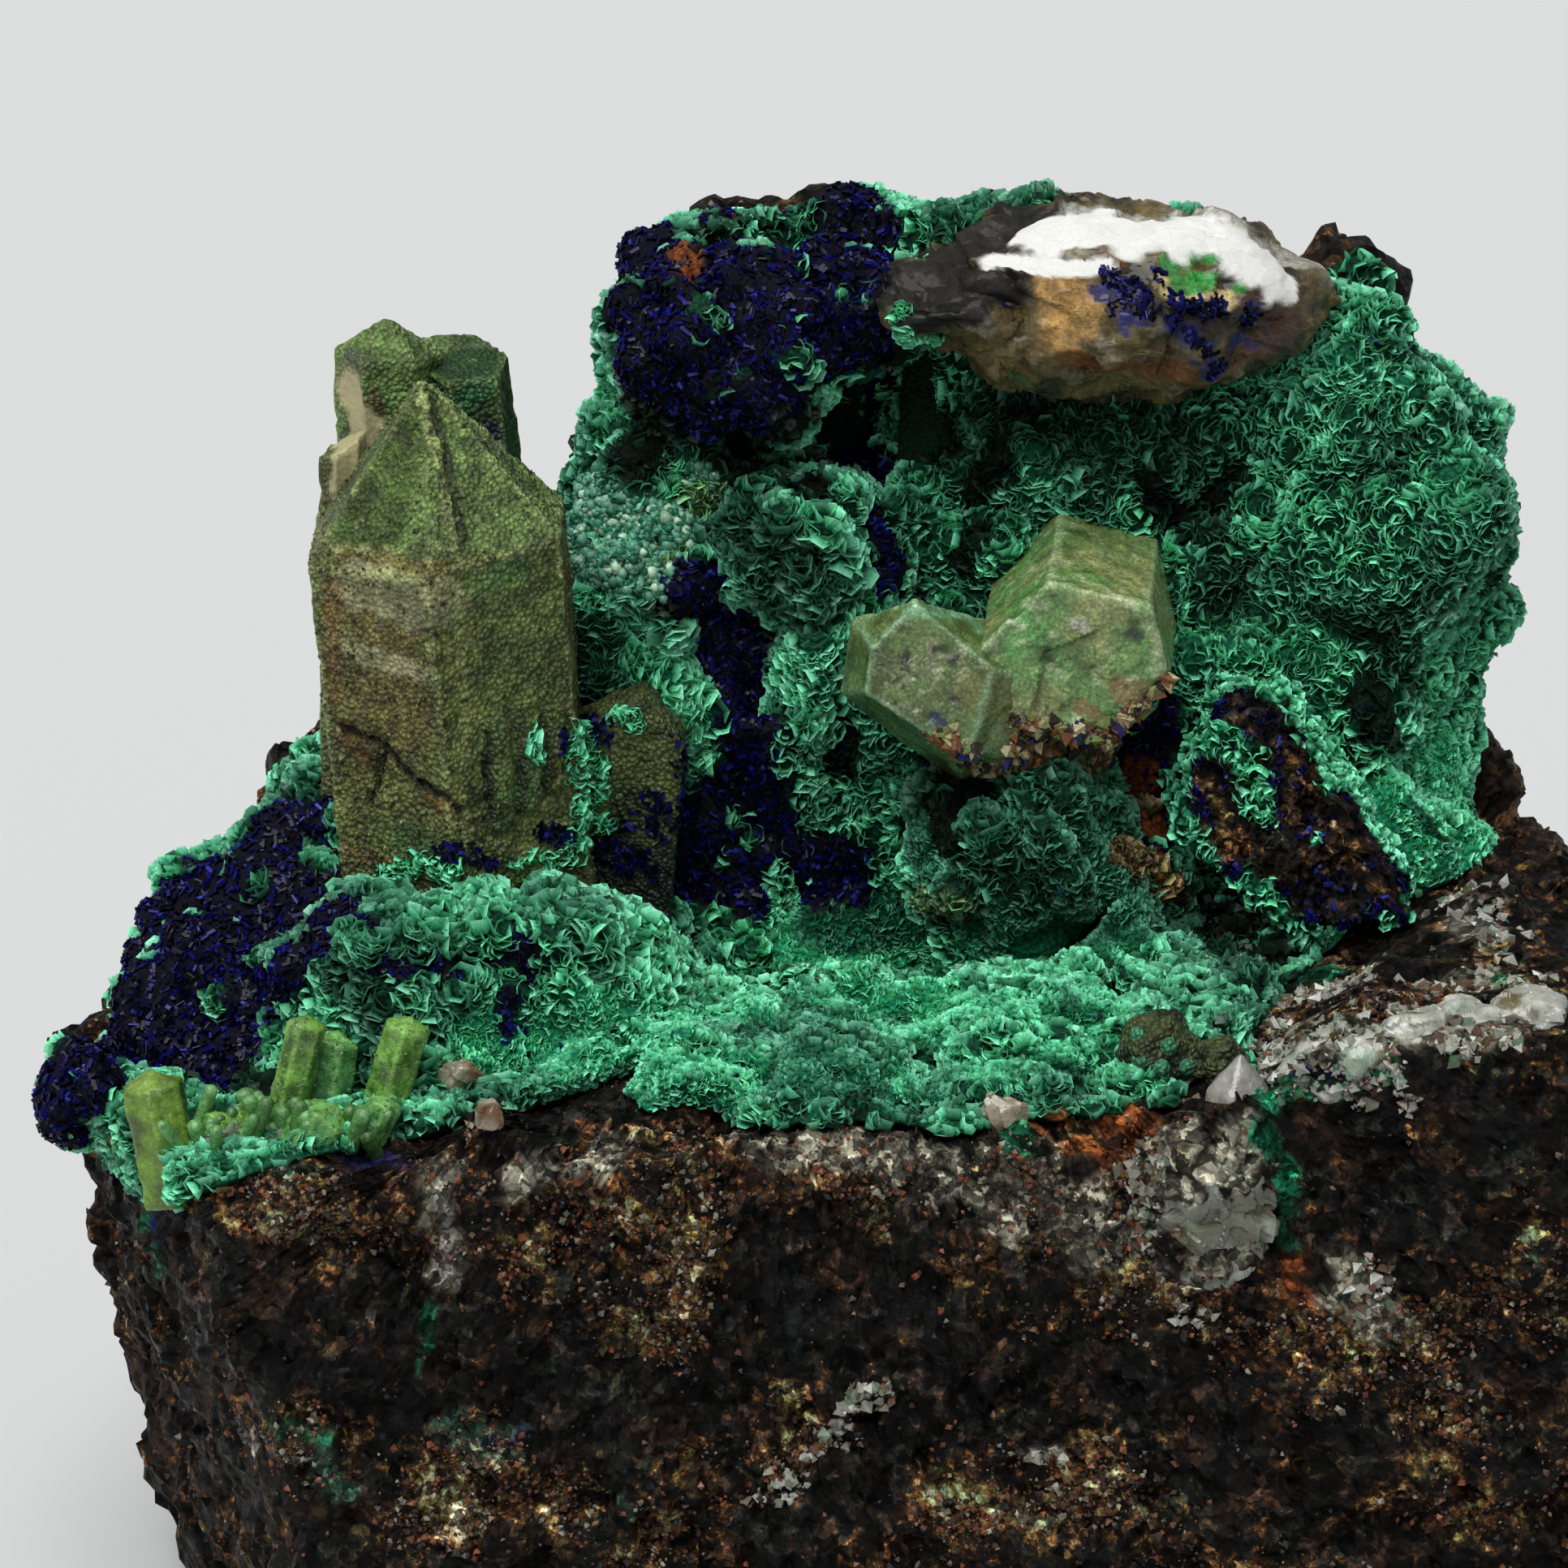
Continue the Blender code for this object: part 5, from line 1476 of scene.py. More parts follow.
def plateFaces():
    # the flat crystal beside the prism: two broad faces, two edges and a chisel end
    sizes = crystals["plate"]
    foot, tip = np.array(sizes["foot"]), np.array(sizes["tip"])
    axis = unit(tip - foot)
    across = unit(np.cross(axis, (0.0, -1.0, 0.0)))
    face = unit(np.cross(across, axis))
    wide, thick = sizes["halfWidth"], sizes["halfThickness"]
    return [(-axis, foot), (face, foot + face * thick), (-face, foot - face * thick),
            (across, foot + across * wide), (-across, foot - across * wide),
            (unit(axis - 0.55 * across), tip + across * 0.3), (unit(axis + across), tip + across * 0.8)]


def crystalRings(sizes, rows, columns, rounding=0.25, planes=None):
    foot, tip = np.array(sizes["foot"]), np.array(sizes["tip"])
    middle, long = 0.5 * (foot + tip), np.linalg.norm(tip - foot)
    half = max(0.5 * long - min(sizes.get("radii", (3.0,))) * 1.1, 0.12 * long)
    planes = planes or crystalPlanes(**sizes)
    return convexRings(planes, middle, tip - foot, half, rows, columns, rounding)


def worn(rings, rough, pits, seed):
    # fine unevenness all over and small pits in places
    rise = rough * fractal(rings, 0.9, seed, 4)
    first, _, number, _ = nearestCells(rings, 0.9, seed + 9)
    return rise - pits * smoothStep(0.45, 0.1, first) * (number > 0.55)


# Strokes on the prism, in the picture's pixels
prismStrokes = {
    "seam": ((7, 519, 490, 535, 549, 547, 605, 560, 677),),
    "edge": ((7, 562, 690, 566, 760, 570, 850, 573, 960, 575, 1040),),
    "crack": ((5, 422, 898, 473, 921, 504, 960, 540, 983, 568, 998), (4, 473, 921, 455, 990),
              (4, 600, 900, 606, 1010)),
    "shelf": ((16, 612, 890, 618, 1010), (14, 650, 870, 655, 990), (12, 685, 880, 680, 960)),
    "low": ((22, 590, 1000, 640, 1020), (18, 440, 940, 520, 1000)),
    "lip": ((5, 398, 680, 470, 676, 545, 672),),
    # painted shade in the grooves beside the raised seam and between the raised shelves
    "beside": ((7, 532, 495, 548, 552, 560, 610, 572, 672), (6, 640, 880, 642, 1000),
               (5, 668, 880, 672, 980)),
    "white": ((34, 440, 720, 500, 745, 545, 740), (14, 430, 800, 520, 830)),
    "rust": ((14, 408, 720, 412, 860), (16, 425, 900, 450, 930), (14, 525, 985, 560, 1000),
             (12, 430, 1050, 500, 1070)),
    "left": ((60, 470, 760, 480, 880), (40, 440, 700, 530, 700)),
    "right": ((60, 640, 740, 640, 900), (40, 620, 960, 660, 760)),
    "moss": ((30, 480, 1030, 560, 1060), (26, 620, 1000, 650, 960), (18, 590, 720, 640, 700)),
    "front": ((14, 516, 500, 528, 590, 540, 680, 552, 760, 566, 900, 572, 1040),),
}


def prismSkin():
    # raised along the seam, the shelves and the lip, and sunk along the crack
    rings = crystalRings(crystals["prism"], 240, 250, 0.14)
    own = Ground(rings)
    dress = {name: inZone(rings, own.along(strokes), 0.12, 0.8) for name, strokes in prismStrokes.items()}
    facing = rings[..., 1] < 1.0
    stripes = np.sin(rings[..., 0] * 9.0 + 2.0 * fractal(rings, 3.0, 104, 2))
    right = smoothStep(-19.5, -18.0, rings[..., 0]) * smoothStep(74.0, 70.0, rings[..., 2])
    rise = worn(rings, 0.09, 0.16, 101) + 0.07 * fractal(rings, 3.2, 102, 3)
    ragged = patches(rings, -0.5, 0.3, 0.6, 106, 2)
    rise = rise + 0.42 * dress["seam"] * ragged - 0.05 * dress["edge"] - 0.55 * dress["crack"]
    rise = rise + 0.45 * dress["shelf"] * facing - 0.25 * dress["low"]
    rise = rise + 0.05 * right * stripes * smoothStep(66.0, 58.0, rings[..., 2])
    rise = rise + 0.16 * dress["lip"] * ragged
    # painted highlight: the edges are painted pale, in the seam's coat and in their own
    dress["seam"] = dress["seam"] + 0.5 * dress["edge"] + 0.8 * dress["lip"] * ragged
    edge = edgeBand(rings, crystalPlanes(**crystals["prism"]), 0.40)
    dress["edge"] = edge * (0.4 + 0.6 * ragged) * (1 - 0.85 * dress["front"])
    return pushed(rings, rise + 0.12 * dress["edge"]), dress


def prismTints(rings, dress):
    # painted shade: the left side of the point is painted a darker green than the right
    left = smoothStep(-23.0, -24.0, rings[..., 0] + 0.25 * (82.0 - rings[..., 2]) - 0.6)
    tint = painted(rings, (126, 156, 84), ((94, 122, 54), left))
    tint = blended(tint, tint * 0.6, patches(rings, -0.3, 0.7, 2.6, 105))
    below = smoothStep(73.3, 72.7, rings[..., 2] + 0.2 * fractal(rings, 1.0, 107, 3))
    tint = painted(rings, tint, ((122, 126, 60), 0.85 * below))
    tint = blended(tint, tint * 0.5, below * patches(rings, -0.1, 0.6, 1.7, 108, 5))
    return painted(
        rings, tint, ((158, 166, 112), 0.5 * below * patches(rings, 0.3, 0.8, 1.3, 109, 5)),
        ((132, 108, 52), 0.5 * dress["left"] * below), ((98, 124, 62), 0.8 * dress["right"] * below),
        ((172, 174, 130), 0.7 * dress["white"]), ((128, 76, 34), 0.5 * dress["rust"]),
        ((76, 128, 66), 0.5 * dress["moss"]), ((176, 190, 120), 0.7 * dress["seam"]),
        # the edges painted pale as a highlight; then painted shade in the grooves beside the seam and the
        # shelves
        ((178, 192, 124), 0.7 * dress["edge"]), ((34, 42, 20), 0.75 * dress["beside"]),
        ((24, 22, 14), 0.95 * dress["crack"]))


def rearTints(rings):
    # creamy at its left edge, mossy elsewhere, with a vivid green and a dark blue stain at the right
    right = smoothStep(-24.4, -23.4, rings[..., 0])
    tint = painted(rings, (118, 152, 78), ((72, 98, 42), patches(rings, -0.4, 0.6, 2.2, 111)),
                   ((24, 72, 14), 0.94 * right * smoothStep(81.4, 80.8, rings[..., 2])))
    return coated(tint, rings, Ground(rings), (
        ((40, 120, 70), 0.6, (16, 550, 500, 600, 480), (14, 580, 600, 600, 620)),
        ((18, 24, 70), 0.9, (22, 585, 530, 620, 560), (8, 410, 590, 414, 630),
         (9, 426, 432, 430, 445)),
        ((120, 150, 96), 0.6, (8, 535, 430, 608, 420)),
        ((96, 68, 40), 0.6, (12, 408, 650, 412, 700), (10, 460, 480, 470, 540))))


# Where the rear crystal is clean, in the picture's pixels
cleanStrokes = ((34, 430, 486, 438, 520, 440, 590), (10, 412, 560, 414, 600))


def makeMainCrystals():
    prism, dress = prismSkin()
    patchy = 0.72 + 0.56 * patches(prism, -0.5, 0.5, 0.9, 112)
    parts = [formOf(prism, dusty(prismTints(prism, dress) * patchy[..., None], 0.35 * dress["white"]))]
    for name, rows, columns in (("rearLeft", 110, 90), ("rearRight", 110, 90), ("flake", 60, 50)):
        rings = crystalRings(crystals[name], rows, columns, 0.14)
        edge = edgeBand(rings, crystalPlanes(**crystals[name]), 0.4)
        rings = pushed(rings, worn(rings, 0.09, 0.18, 121) + 0.10 * edge)
        clean = inZone(rings, Ground(rings).along(cleanStrokes), 0.25, 1.0) * (name != "rearRight")
        rings = pushed(rings, -0.12 * clean)
        # the edges painted pale as a highlight
        tint = painted(rings, rearTints(rings), ((150, 176, 104), 0.5 * edge))
        if name == "flake":
            tint = tint * 0.7 + colour(120, 84, 50) * 0.3
        parts.append(formOf(rings, dusty(painted(rings, tint, ((186, 178, 132), clean)), 0.9 * clean)))
    rings = crystalRings(crystals["plate"], 90, 90, 0.2, plateFaces())
    rings = pushed(rings, worn(rings, 0.16, 0.25, 131))
    low = smoothStep(54.0, 51.0, rings[..., 2] + fractal(rings, 2.0, 133, 3))
    tint = painted(rings, (98, 108, 54), ((50, 66, 30), patches(rings, -0.4, 0.5, 2.0, 132)),
                   ("azuriteDeep", 0.8 * low))
    parts.append(formOf(rings, dusty(tint, np.zeros(rings.shape[:2]))))
    piece = makeSkin("dustedCrystals", parts, dustedLook)
    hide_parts("main_crystal_group")
    return prism, rings


# Stains on the pair: shade, how much of it, and its strokes
leftStains = (
    ((136, 198, 150), 0.75, (13, 1120, 752, 1190, 748, 1212, 770), (7, 1225, 790, 1275, 850)),
    ((122, 128, 66), 0.8, (24, 1200, 850, 1250, 868), (14, 1220, 820, 1240, 835)),
    ((20, 30, 84), 0.9, (8, 1152, 884, 1160, 890)),
    ((50, 160, 76), 0.8, (10, 1150, 912, 1180, 915)),
    ((86, 104, 56), 0.6, (16, 1085, 800, 1075, 850), (18, 1120, 900, 1180, 940)),
    ((150, 128, 84), 0.7, (12, 1190, 940, 1230, 970)))
rightStains = (
    ((196, 208, 164), 0.75, (4, 1206, 765, 1242, 704, 1300, 702, 1357, 712, 1396, 745, 1430, 805)),
    ((222, 220, 196), 0.9, (7, 1325, 768, 1338, 774)),
    ((146, 86, 44), 0.6, (16, 1380, 850, 1420, 860), (10, 1330, 870, 1350, 880)),
    ((26, 30, 22), 0.8, (9, 1396, 778, 1404, 784), (6, 1290, 800, 1295, 812)),
    ((118, 140, 84), 0.6, (22, 1290, 670, 1350, 650, 1390, 690)),
    ((60, 190, 160), 0.8, (4, 1300, 668, 1304, 670), (4, 1360, 668, 1362, 672)))


def makePair():
    left = convexRings(pairLeftFaces(), (10.5, 0.6, 62.0), (-0.71, -0.58, 0.40), 2.6, 116, 120, 0.10)
    edge = edgeBand(left, pairLeftFaces(), 0.38)
    left = pushed(left, worn(left, 0.09, 0.16, 141) + 0.06 * fractal(left, 2.6, 142, 3))
    own = Ground(left)
    speckled = inZone(left, own.along(((34, 1140, 815, 1180, 830), (16, 1100, 830, 1110, 870))), 0.4, 1.4)
    tint = painted(left, (112, 138, 78), ((84, 102, 54), patches(left, -0.3, 0.6, 1.8, 143)),
                   ((168, 172, 134), 0.8 * speckled * patches(left, 0.0, 0.4, 0.8, 149)),
                   ((40, 46, 26), 0.85 * speckled * patches(left, 0.15, 0.4, 0.6, 158, 3)))
    # the edges painted pale as a highlight
    tint = painted(left, coated(tint, left, own, leftStains), ((166, 214, 160), 0.55 * edge))
    right = crystalRings(crystals["pairRight"], 104, 120, 0.10)
    edge = edgeBand(right, crystalPlanes(**crystals["pairRight"]), 0.42)
    broken = smoothStep(0.5, -0.6, right[..., 1] + 1.5)
    chips = chipped(right, ((0.34, 4.4, 145), (0.14, 1.6, 146)))
    right = pushed(right, worn(right, 0.07, 0.12, 144) + chips * broken)
    own = Ground(right)
    fresh = inZone(right, own.along(((24, 1240, 720, 1262, 790),)), 0.5, 1.4)
    face = painted(right, (122, 168, 94), ((164, 174, 108), patches(right, -0.5, 0.6, 3.4, 147, 3)),
                   ((84, 124, 54), 0.6 * patches(right, 0.2, 0.8, 2.0, 148, 5)),
                   ((86, 176, 84), 0.5 * fresh),
                   ((214, 228, 178), 0.55 * patches(right, 0.45, 0.8, 0.9, 150)),
                   ((50, 62, 30), 0.6 * patches(right, 0.55, 0.75, 0.5, 159, 3)))
    # the edges painted pale as a highlight
    face = painted(right, coated(face, right, own, rightStains), ((204, 226, 168), 0.55 * edge))
    piece = makeSkin("paleCrystals", [formOf(left, tint), formOf(right, face)], paleLook)
    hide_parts("crystal_pair")
    return left, right


def makeSprigs():
    parts, skins = [], []
    for i, (foot, tip, radius) in enumerate(crystals["sprigs"]):
        sizes = {"foot": foot, "tip": tip, "radii": (radius,) * 6, "spin": crystals["sprigSpin"] * i,
                 "pitch": math.radians(62)}
        rings = crystalRings(sizes, 50, 50, 0.14)
        edge = edgeBand(rings, crystalPlanes(**sizes), 0.3)
        rings = pushed(rings, worn(rings, 0.10, 0.18, 151 + i) * smoothStep(0.0, 1.0, radius))
        vivid = np.full(rings.shape[:2], 0.6 if i in (2, 4, 5) else 0.0)
        shade = painted(rings, (112, 170, 60), ((66, 108, 30), patches(rings, -0.3, 0.5, 1.1, 161 + i)),
                        ((150, 196, 110), 0.5 * patches(rings, 0.35, 0.8, 0.9, 171 + i, 3)),
                        # the edges painted pale as a highlight
                        ((96, 176, 110), vivid), ((150, 206, 96), 0.5 * edge)) * 1.15
        if i == 0:
            shade = shade * np.array([1.0, 0.8, 0.45])
        parts.append(formOf(rings, shade))
        skins.append(rings)
    chance = np.random.default_rng(185)
    for i in range(crystals["twigs"]):
        foot = np.array([chance.uniform(-38.0, -25.2), chance.uniform(-23.6, -20.4), 40.4])
        spreads = ((-1.6, 1.6), (-1.4, 0.6), (2.0, 4.4))
        tip = foot + np.array([chance.uniform(*spread) for spread in spreads])
        sizes = {"foot": foot, "tip": tip, "radii": (chance.uniform(0.28, 0.52),) * 6, "spin": i,
                 "pitch": math.radians(58)}
        rings = crystalRings(sizes, 16, 18, 0.08)
        shade = blended(colour(70, 124, 46), colour(120, 190, 110), chance.random())
        parts.append(formOf(rings, np.broadcast_to(shade, rings.shape)))
    centre, radii = crystals["sprigRoot"]
    root = ellipsoidRings(centre, radii, 40, 90)
    root = pushed(root, 0.25 * fractal(root, 1.4, 181, 4))
    pale = patches(root, 0.0, 0.7, 1.0, 182, 3)
    parts.append(formOf(root, painted(root, (52, 84, 38), ((110, 140, 76), pale))))
    piece = makeSkin("greenSprigs", parts, greenLook)
    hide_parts("sprig_cluster")
    return skins


def makeStub():
    parts = []
    for seed, name in ((191, "stub"), (195, "lowStub")):
        rings = crystalRings(crystals[name], 64, 64, 0.3)
        rings = pushed(rings, worn(rings, 0.14, 0.2, seed) + 0.15 * fractal(rings, 1.4, seed + 1, 3))
        dark = patches(rings, -0.2, 0.6, 1.2, seed + 2)
        parts.append(formOf(rings, painted(rings, (78, 90, 48), ((28, 42, 20), dark))))
    for seed, (centre, radius) in enumerate(crystals["stubBalls"], 201):
        rings = ellipsoidRings(centre, (radius,) * 3, 24, 30)
        rings = pushed(rings, 0.08 * fractal(rings, 0.5, seed, 3))
        parts.append(formOf(rings, painted(rings, (70, 150, 110))))
    piece = makeSkin("oliveStub", parts, dustedLook)
    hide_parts("stub_crystal")


# Stains on the nodule and on its plate, the first of them partly a painted highlight along the top rim;
# then the white top, partly white quartz and partly a painted highlight, the blue flecks, and where the
# plate is dark
noduleStains = (
    ((176, 174, 160), 0.85, (28, 1280, 262, 1400, 256, 1500, 268, 1580, 296, 1625, 330)),
    ((196, 152, 84), 0.8, (28, 1300, 350, 1310, 420, 1340, 380)),
    ((228, 204, 146), 0.8, (20, 1440, 352, 1510, 366)),
    ((112, 66, 32), 0.85, (22, 1320, 450, 1400, 468, 1480, 462, 1540, 440), (9, 1358, 312, 1378, 322)),
    ((80, 56, 42), 0.8, (28, 1556, 372, 1590, 400), (20, 1500, 450, 1560, 430)),
    ((46, 156, 66), 0.92, (14, 1440, 322, 1500, 312), (20, 1458, 346, 1486, 336),
     (11, 1500, 338, 1532, 352)),
    ((150, 144, 132), 0.85, (18, 1195, 385, 1208, 408)),
    ((54, 150, 106), 0.85, (8, 1102, 380, 1108, 418, 1124, 438), (6, 1240, 470, 1300, 490)))
noduleStrokes = {
    "white": ((46, 1290, 286, 1380, 278, 1450, 284), (36, 1450, 286, 1510, 302, 1572, 334),
              (12, 1222, 322, 1290, 330, 1360, 328)),
    "flecks": ((32, 1375, 350, 1400, 380), (34, 1450, 390, 1500, 430), (20, 1540, 380, 1550, 420)),
    "dark": ((50, 1120, 350, 1200, 300, 1262, 262), (40, 1140, 380, 1230, 350),
             (30, 1180, 275, 1240, 258, 1275, 290)),
}


def makeNodule():
    parts, skins = [], []
    for name, rows, columns in (("nodule", 156, 196), ("nodulePlate", 80, 104)):
        centre, radii, wave = crystals[name]
        rings = ellipsoidRings(centre, radii, rows, columns)
        rise = uneven(rings, (wave,)) + chipped(rings, ((0.75, 4.6, 211), (0.28, 1.7, 212))) * 0.8
        own = Ground(rings)
        white = inZone(rings, own.along(noduleStrokes["white"]), 0.4, 1.6)
        flecks = inZone(rings, own.along(noduleStrokes["flecks"]), 0.5, 1.6)
        flecks = flecks * patches(rings, 0.02, 0.16, 1.1, 216)
        rings = pushed(rings, rise * (1 - 0.6 * white) + 0.12 * fractal(rings, 0.8, 213, 4) * (1 - white))
        tint = painted(rings, (112, 98, 60), ((44, 38, 26), patches(rings, -0.4, 0.5, 2.4, 214)),
                       ((150, 144, 120), 0.6 * patches(rings, 0.35, 0.8, 1.6, 215)))
        dark = inZone(rings, own.along(noduleStrokes["dark"]), 0.4, 1.6) * (1 - white)
        tint = painted(rings, coated(tint, rings, own, noduleStains), ((22, 20, 19), 0.96 * dark),
                       # the white top: partly white quartz, partly a painted highlight
                       ((244, 244, 238), 0.97 * white), ((28, 40, 112), 0.9 * flecks))
        parts.append(formOf(rings, np.concatenate([tint, (0.95 * white + 0.7 * dark)[..., None]], axis=-1)))
        skins.append(rings)
    piece = makeSkin("rustyNodule", parts, noduleLook)
    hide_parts("quartz_nodule")
    return skins


def brokenGrain(centre, radii, seed, half, rows, columns, rounding, chips, rough, roughSeed, turn=0.0):
    # the hull of random corners, chipped and a little rough
    rings = convexRings(hullPlanes(centre, radii, seed), centre, (turn, 0.1, 1.0), half, rows, columns,
                        rounding)
    return pushed(rings, chipped(rings, chips) + rough * fractal(rings, 0.7, roughSeed, 3))


def makeRimQuartz():
    rings = crystalRings(crystals["rimPrism"], 60, 60, 0.2)
    rings = pushed(rings, 0.06 * fractal(rings, 0.8, 221, 3))
    parts = [formOf(rings, painted(rings, (214, 212, 200)))]
    grain = crystals["grain"]
    rings = brokenGrain(grain["centre"], grain["radii"], grain["seed"], 1.5, 86, 96, 0.25,
                        ((0.6, 3.0, 222), (0.22, 1.1, 223)), 0.05, 224)
    pale = painted(rings, (214, 224, 204), ((140, 144, 120), patches(rings, -0.2, 0.5, 1.8, 225)),
                   ((150, 96, 56), 0.6 * patches(rings, 0.4, 0.9, 1.5, 226)))
    parts.append(formOf(rings, pale))
    for u, v, radii, seed in crystals["rimGrains"]:
        centre = ground.under(u, v)
        rings = brokenGrain(centre, radii, seed, 0.4, 60, 70, 0.12, ((0.2, 1.2, seed),), 0.06, seed)
        brown = patches(rings, 0.0, 0.8, 1.2, seed + 5, 3)
        parts.append(formOf(rings, painted(rings, (226, 214, 186), ((170, 128, 88), brown))))
    piece = makeSkin("rimQuartz", parts, clearLook, smooth=False)
    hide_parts("rim_quartz")


def makeSeam():
    parts = []
    for i, (centre, radii) in enumerate(crystals["seam"]):
        rings = brokenGrain(centre, radii, crystals["seamSeed"] + i, 0.6, 60, 70, 0.2,
                            ((0.2, 1.3, 231 + i),), 0.06, 241 + i, turn=0.2)
        shade = painted(rings, (250, 252, 236), ((168, 146, 98), patches(rings, 0.35, 0.9, 1.5, 251 + i)),
                        ((120, 190, 140), 0.5 * patches(rings, 0.2, 0.7, 1.3, 261 + i, 3)))
        parts.append(formOf(rings, shade))
    piece = makeSkin("seamQuartz", parts, clearLook, smooth=False)
    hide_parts("quartz_seam")


prismRings, plateRings = makeMainCrystals()
pairRings = makePair()
sprigRings = makeSprigs()
makeStub()
noduleRings, nodulePlateRings = makeNodule()
makeRimQuartz()
makeSeam()
print("crystals made")


# Small crystals on the skins: curled petals of malachite, blades of azurite and grains
petals = {
    "count": 15000,  # in each of the three pieces
    "length": (0.55, 1.55),
    "height": (0.26, 0.66),
    "width": (0.045, 0.100),
    "bend": (-0.62, -0.15),
    "sink": 0.22,
    "fineScale": 0.56,
    "bigScale": 1.45,
    "fineShare": 2.4,  # how much thicker they stand in the fine moss
    "light": (0.50, 3.20),
}
blades = {"count": 11000, "length": (0.20, 0.72), "width": (0.035, 0.13), "height": (0.05, 0.36),
          "sink": 0.10}
# how many grains, and the range of their sizes
grains = {
    "paleGranules": (2400, 0.10, 0.40),
    "crystalSugar": (8000, 0.07, 0.22),
    "pairCrumbs": (1500, 0.12, 0.60),
    "rockGrains": (13500, 0.06, 0.30),
    "quartzBits": (2800, 0.09, 0.55),
    "sprigDust": (1700, 0.06, 0.15),
}
sprigBed = (
    (40, 240, 1370, 300, 1380), (38, 330, 1360, 400, 1350, 470, 1340),
)


def crystalForms():
    # the faces of each crystal that stands in the crust
    names = ("prism", "rearLeft", "rearRight", "flake", "pairRight", "stub", "lowStub")
    faces = [crystalPlanes(**crystals[name]) for name in names]
    return faces + [pairLeftFaces(), plateFaces(), rock["remnant"]]


def buried(points, depth):
    # inside a crystal, a lump or the nodule
    hidden = np.zeros(len(points), bool)
    for planes in crystalForms():
        hidden |= insideForm(points, planes) < -depth
    centre, radii, _ = crystals["nodule"]
    return hidden | (beyondEllipsoid(points, centre, radii) < -depth)


def areaOf(rings, weight):
    steps = np.cross(rings[1:] - rings[:-1], np.roll(rings, -1, axis=1)[:-1] - rings[:-1])
    return (np.linalg.norm(steps, axis=-1) * weight[:-1]).sum()


def scatterOnCrust(count, chance, weightOf):
    # places on the skin and on the lumps, shared out by their weighted areas
    skins = [(crustDressed, crustTop)] + list(zip(lumpsDressed, lumpRings))
    weights = [weightOf(zoneShares(base), base) for _, base in skins]
    weights[0] = weights[0] * (0.6 + 0.4 * crustInward)
    areas = np.array([areaOf(rings, weight) for (rings, _), weight in zip(skins, weights)])
    points, normals, bases = [], [], []
    for i, ((rings, base), weight) in enumerate(zip(skins, weights)):
        spots = Scatter(rings, weight, int(count * 1.45 * areas[i] / areas.sum()), chance)
        own = spots.read(base)
        keep = ~buried(spots.points, 0.1)
        for j, (centre, radii) in enumerate(crust["overhangs"]):
            if j + 1 != i:
                keep &= beyondEllipsoid(own, centre, np.array(radii)) > -0.7
        if i > 0:
            keep &= rockDistance(own) > 1.0
        points.append(spots.points[keep])
        normals.append(spots.normals[keep])
        bases.append(own[keep])
    points, normals, bases = (np.concatenate(part) for part in (points, normals, bases))
    chosen = chance.permutation(len(points))[:count]
    return points[chosen], normals[chosen], bases[chosen]


def petalTints(points, shares, shine, depth, count, chance):
    middle = blended(shades["malachiteMid"], shades["terraceMid"], shares["fine"])
    pale = blended(shades["malachitePale"], shades["terracePale"], shares["fine"])
    for zone, shade, amount in (("granules", "granule", 0.7), ("olive", "olive", 0.8),
                                ("rust", "rockRust", 0.85)):
        middle = blended(middle, shades[shade], amount * shares[zone])
        pale = blended(pale, shades[shade] * 1.5, amount * shares[zone])
    yellow = smoothStep(0.8, 1.0, chance.random(count))
    middle = blended(middle, middle * np.array([2.2, 1.05, 0.5]), yellow)
    tone = blended(middle, pale, between(chance, 0.35, 1.0, count)) * shine[:, None]
    tone = tone * np.minimum(1.0, 0.96 / tone.max(axis=1, keepdims=True))
    # each petal's painted shade
    tone = (tone * depth[:, None])[:, None]
    # the fourth value is how far up the petal each corner stands
    level = np.array([0.50, 0.0, 1.0, 0.0, 0.0, 0.95, 0.0, 0.40])[None, :, None]
    return np.concatenate([np.repeat(tone, 8, axis=1), np.repeat(level, count, axis=0)], axis=-1)


def petalShapes(points, normals, bases, shares, count, chance):
    # the petals curl round the middle of their own rosette
    _, size, seed = crust["clusters"][0]
    offset = nearestCells(bases, size, seed)[3]
    circling = np.cross(normals, offset)
    circling = circling / (np.linalg.norm(circling, axis=1, keepdims=True) + 1e-6)
    free = turnedAbout(normals, chance, 0.15)
    along = unit(circling * 0.9 + free * between(chance, 0.2, 1.5, count)[:, None])
    along = unit(along - normals * (along * normals).sum(axis=1, keepdims=True))
    lean = unit(normals + 0.24 * chance.normal(size=(count, 3)) + np.array([0.0, -0.05, 0.08]))
    up = unit(lean - along * (lean * along).sum(axis=1, keepdims=True))
    scale = 1 + (petals["fineScale"] - 1) * shares["fine"]
    scale = scale * (1 + (petals["bigScale"] - 1) * shares["big"])
    length = between(chance, *petals["length"], count) * scale
    height = between(chance, *petals["height"], count) * scale
    width = between(chance, *petals["width"], count) * scale
    bend = between(chance, *petals["bend"], count)
    return petalCorners(points, up, along, length, height, width, bend, petals["sink"])


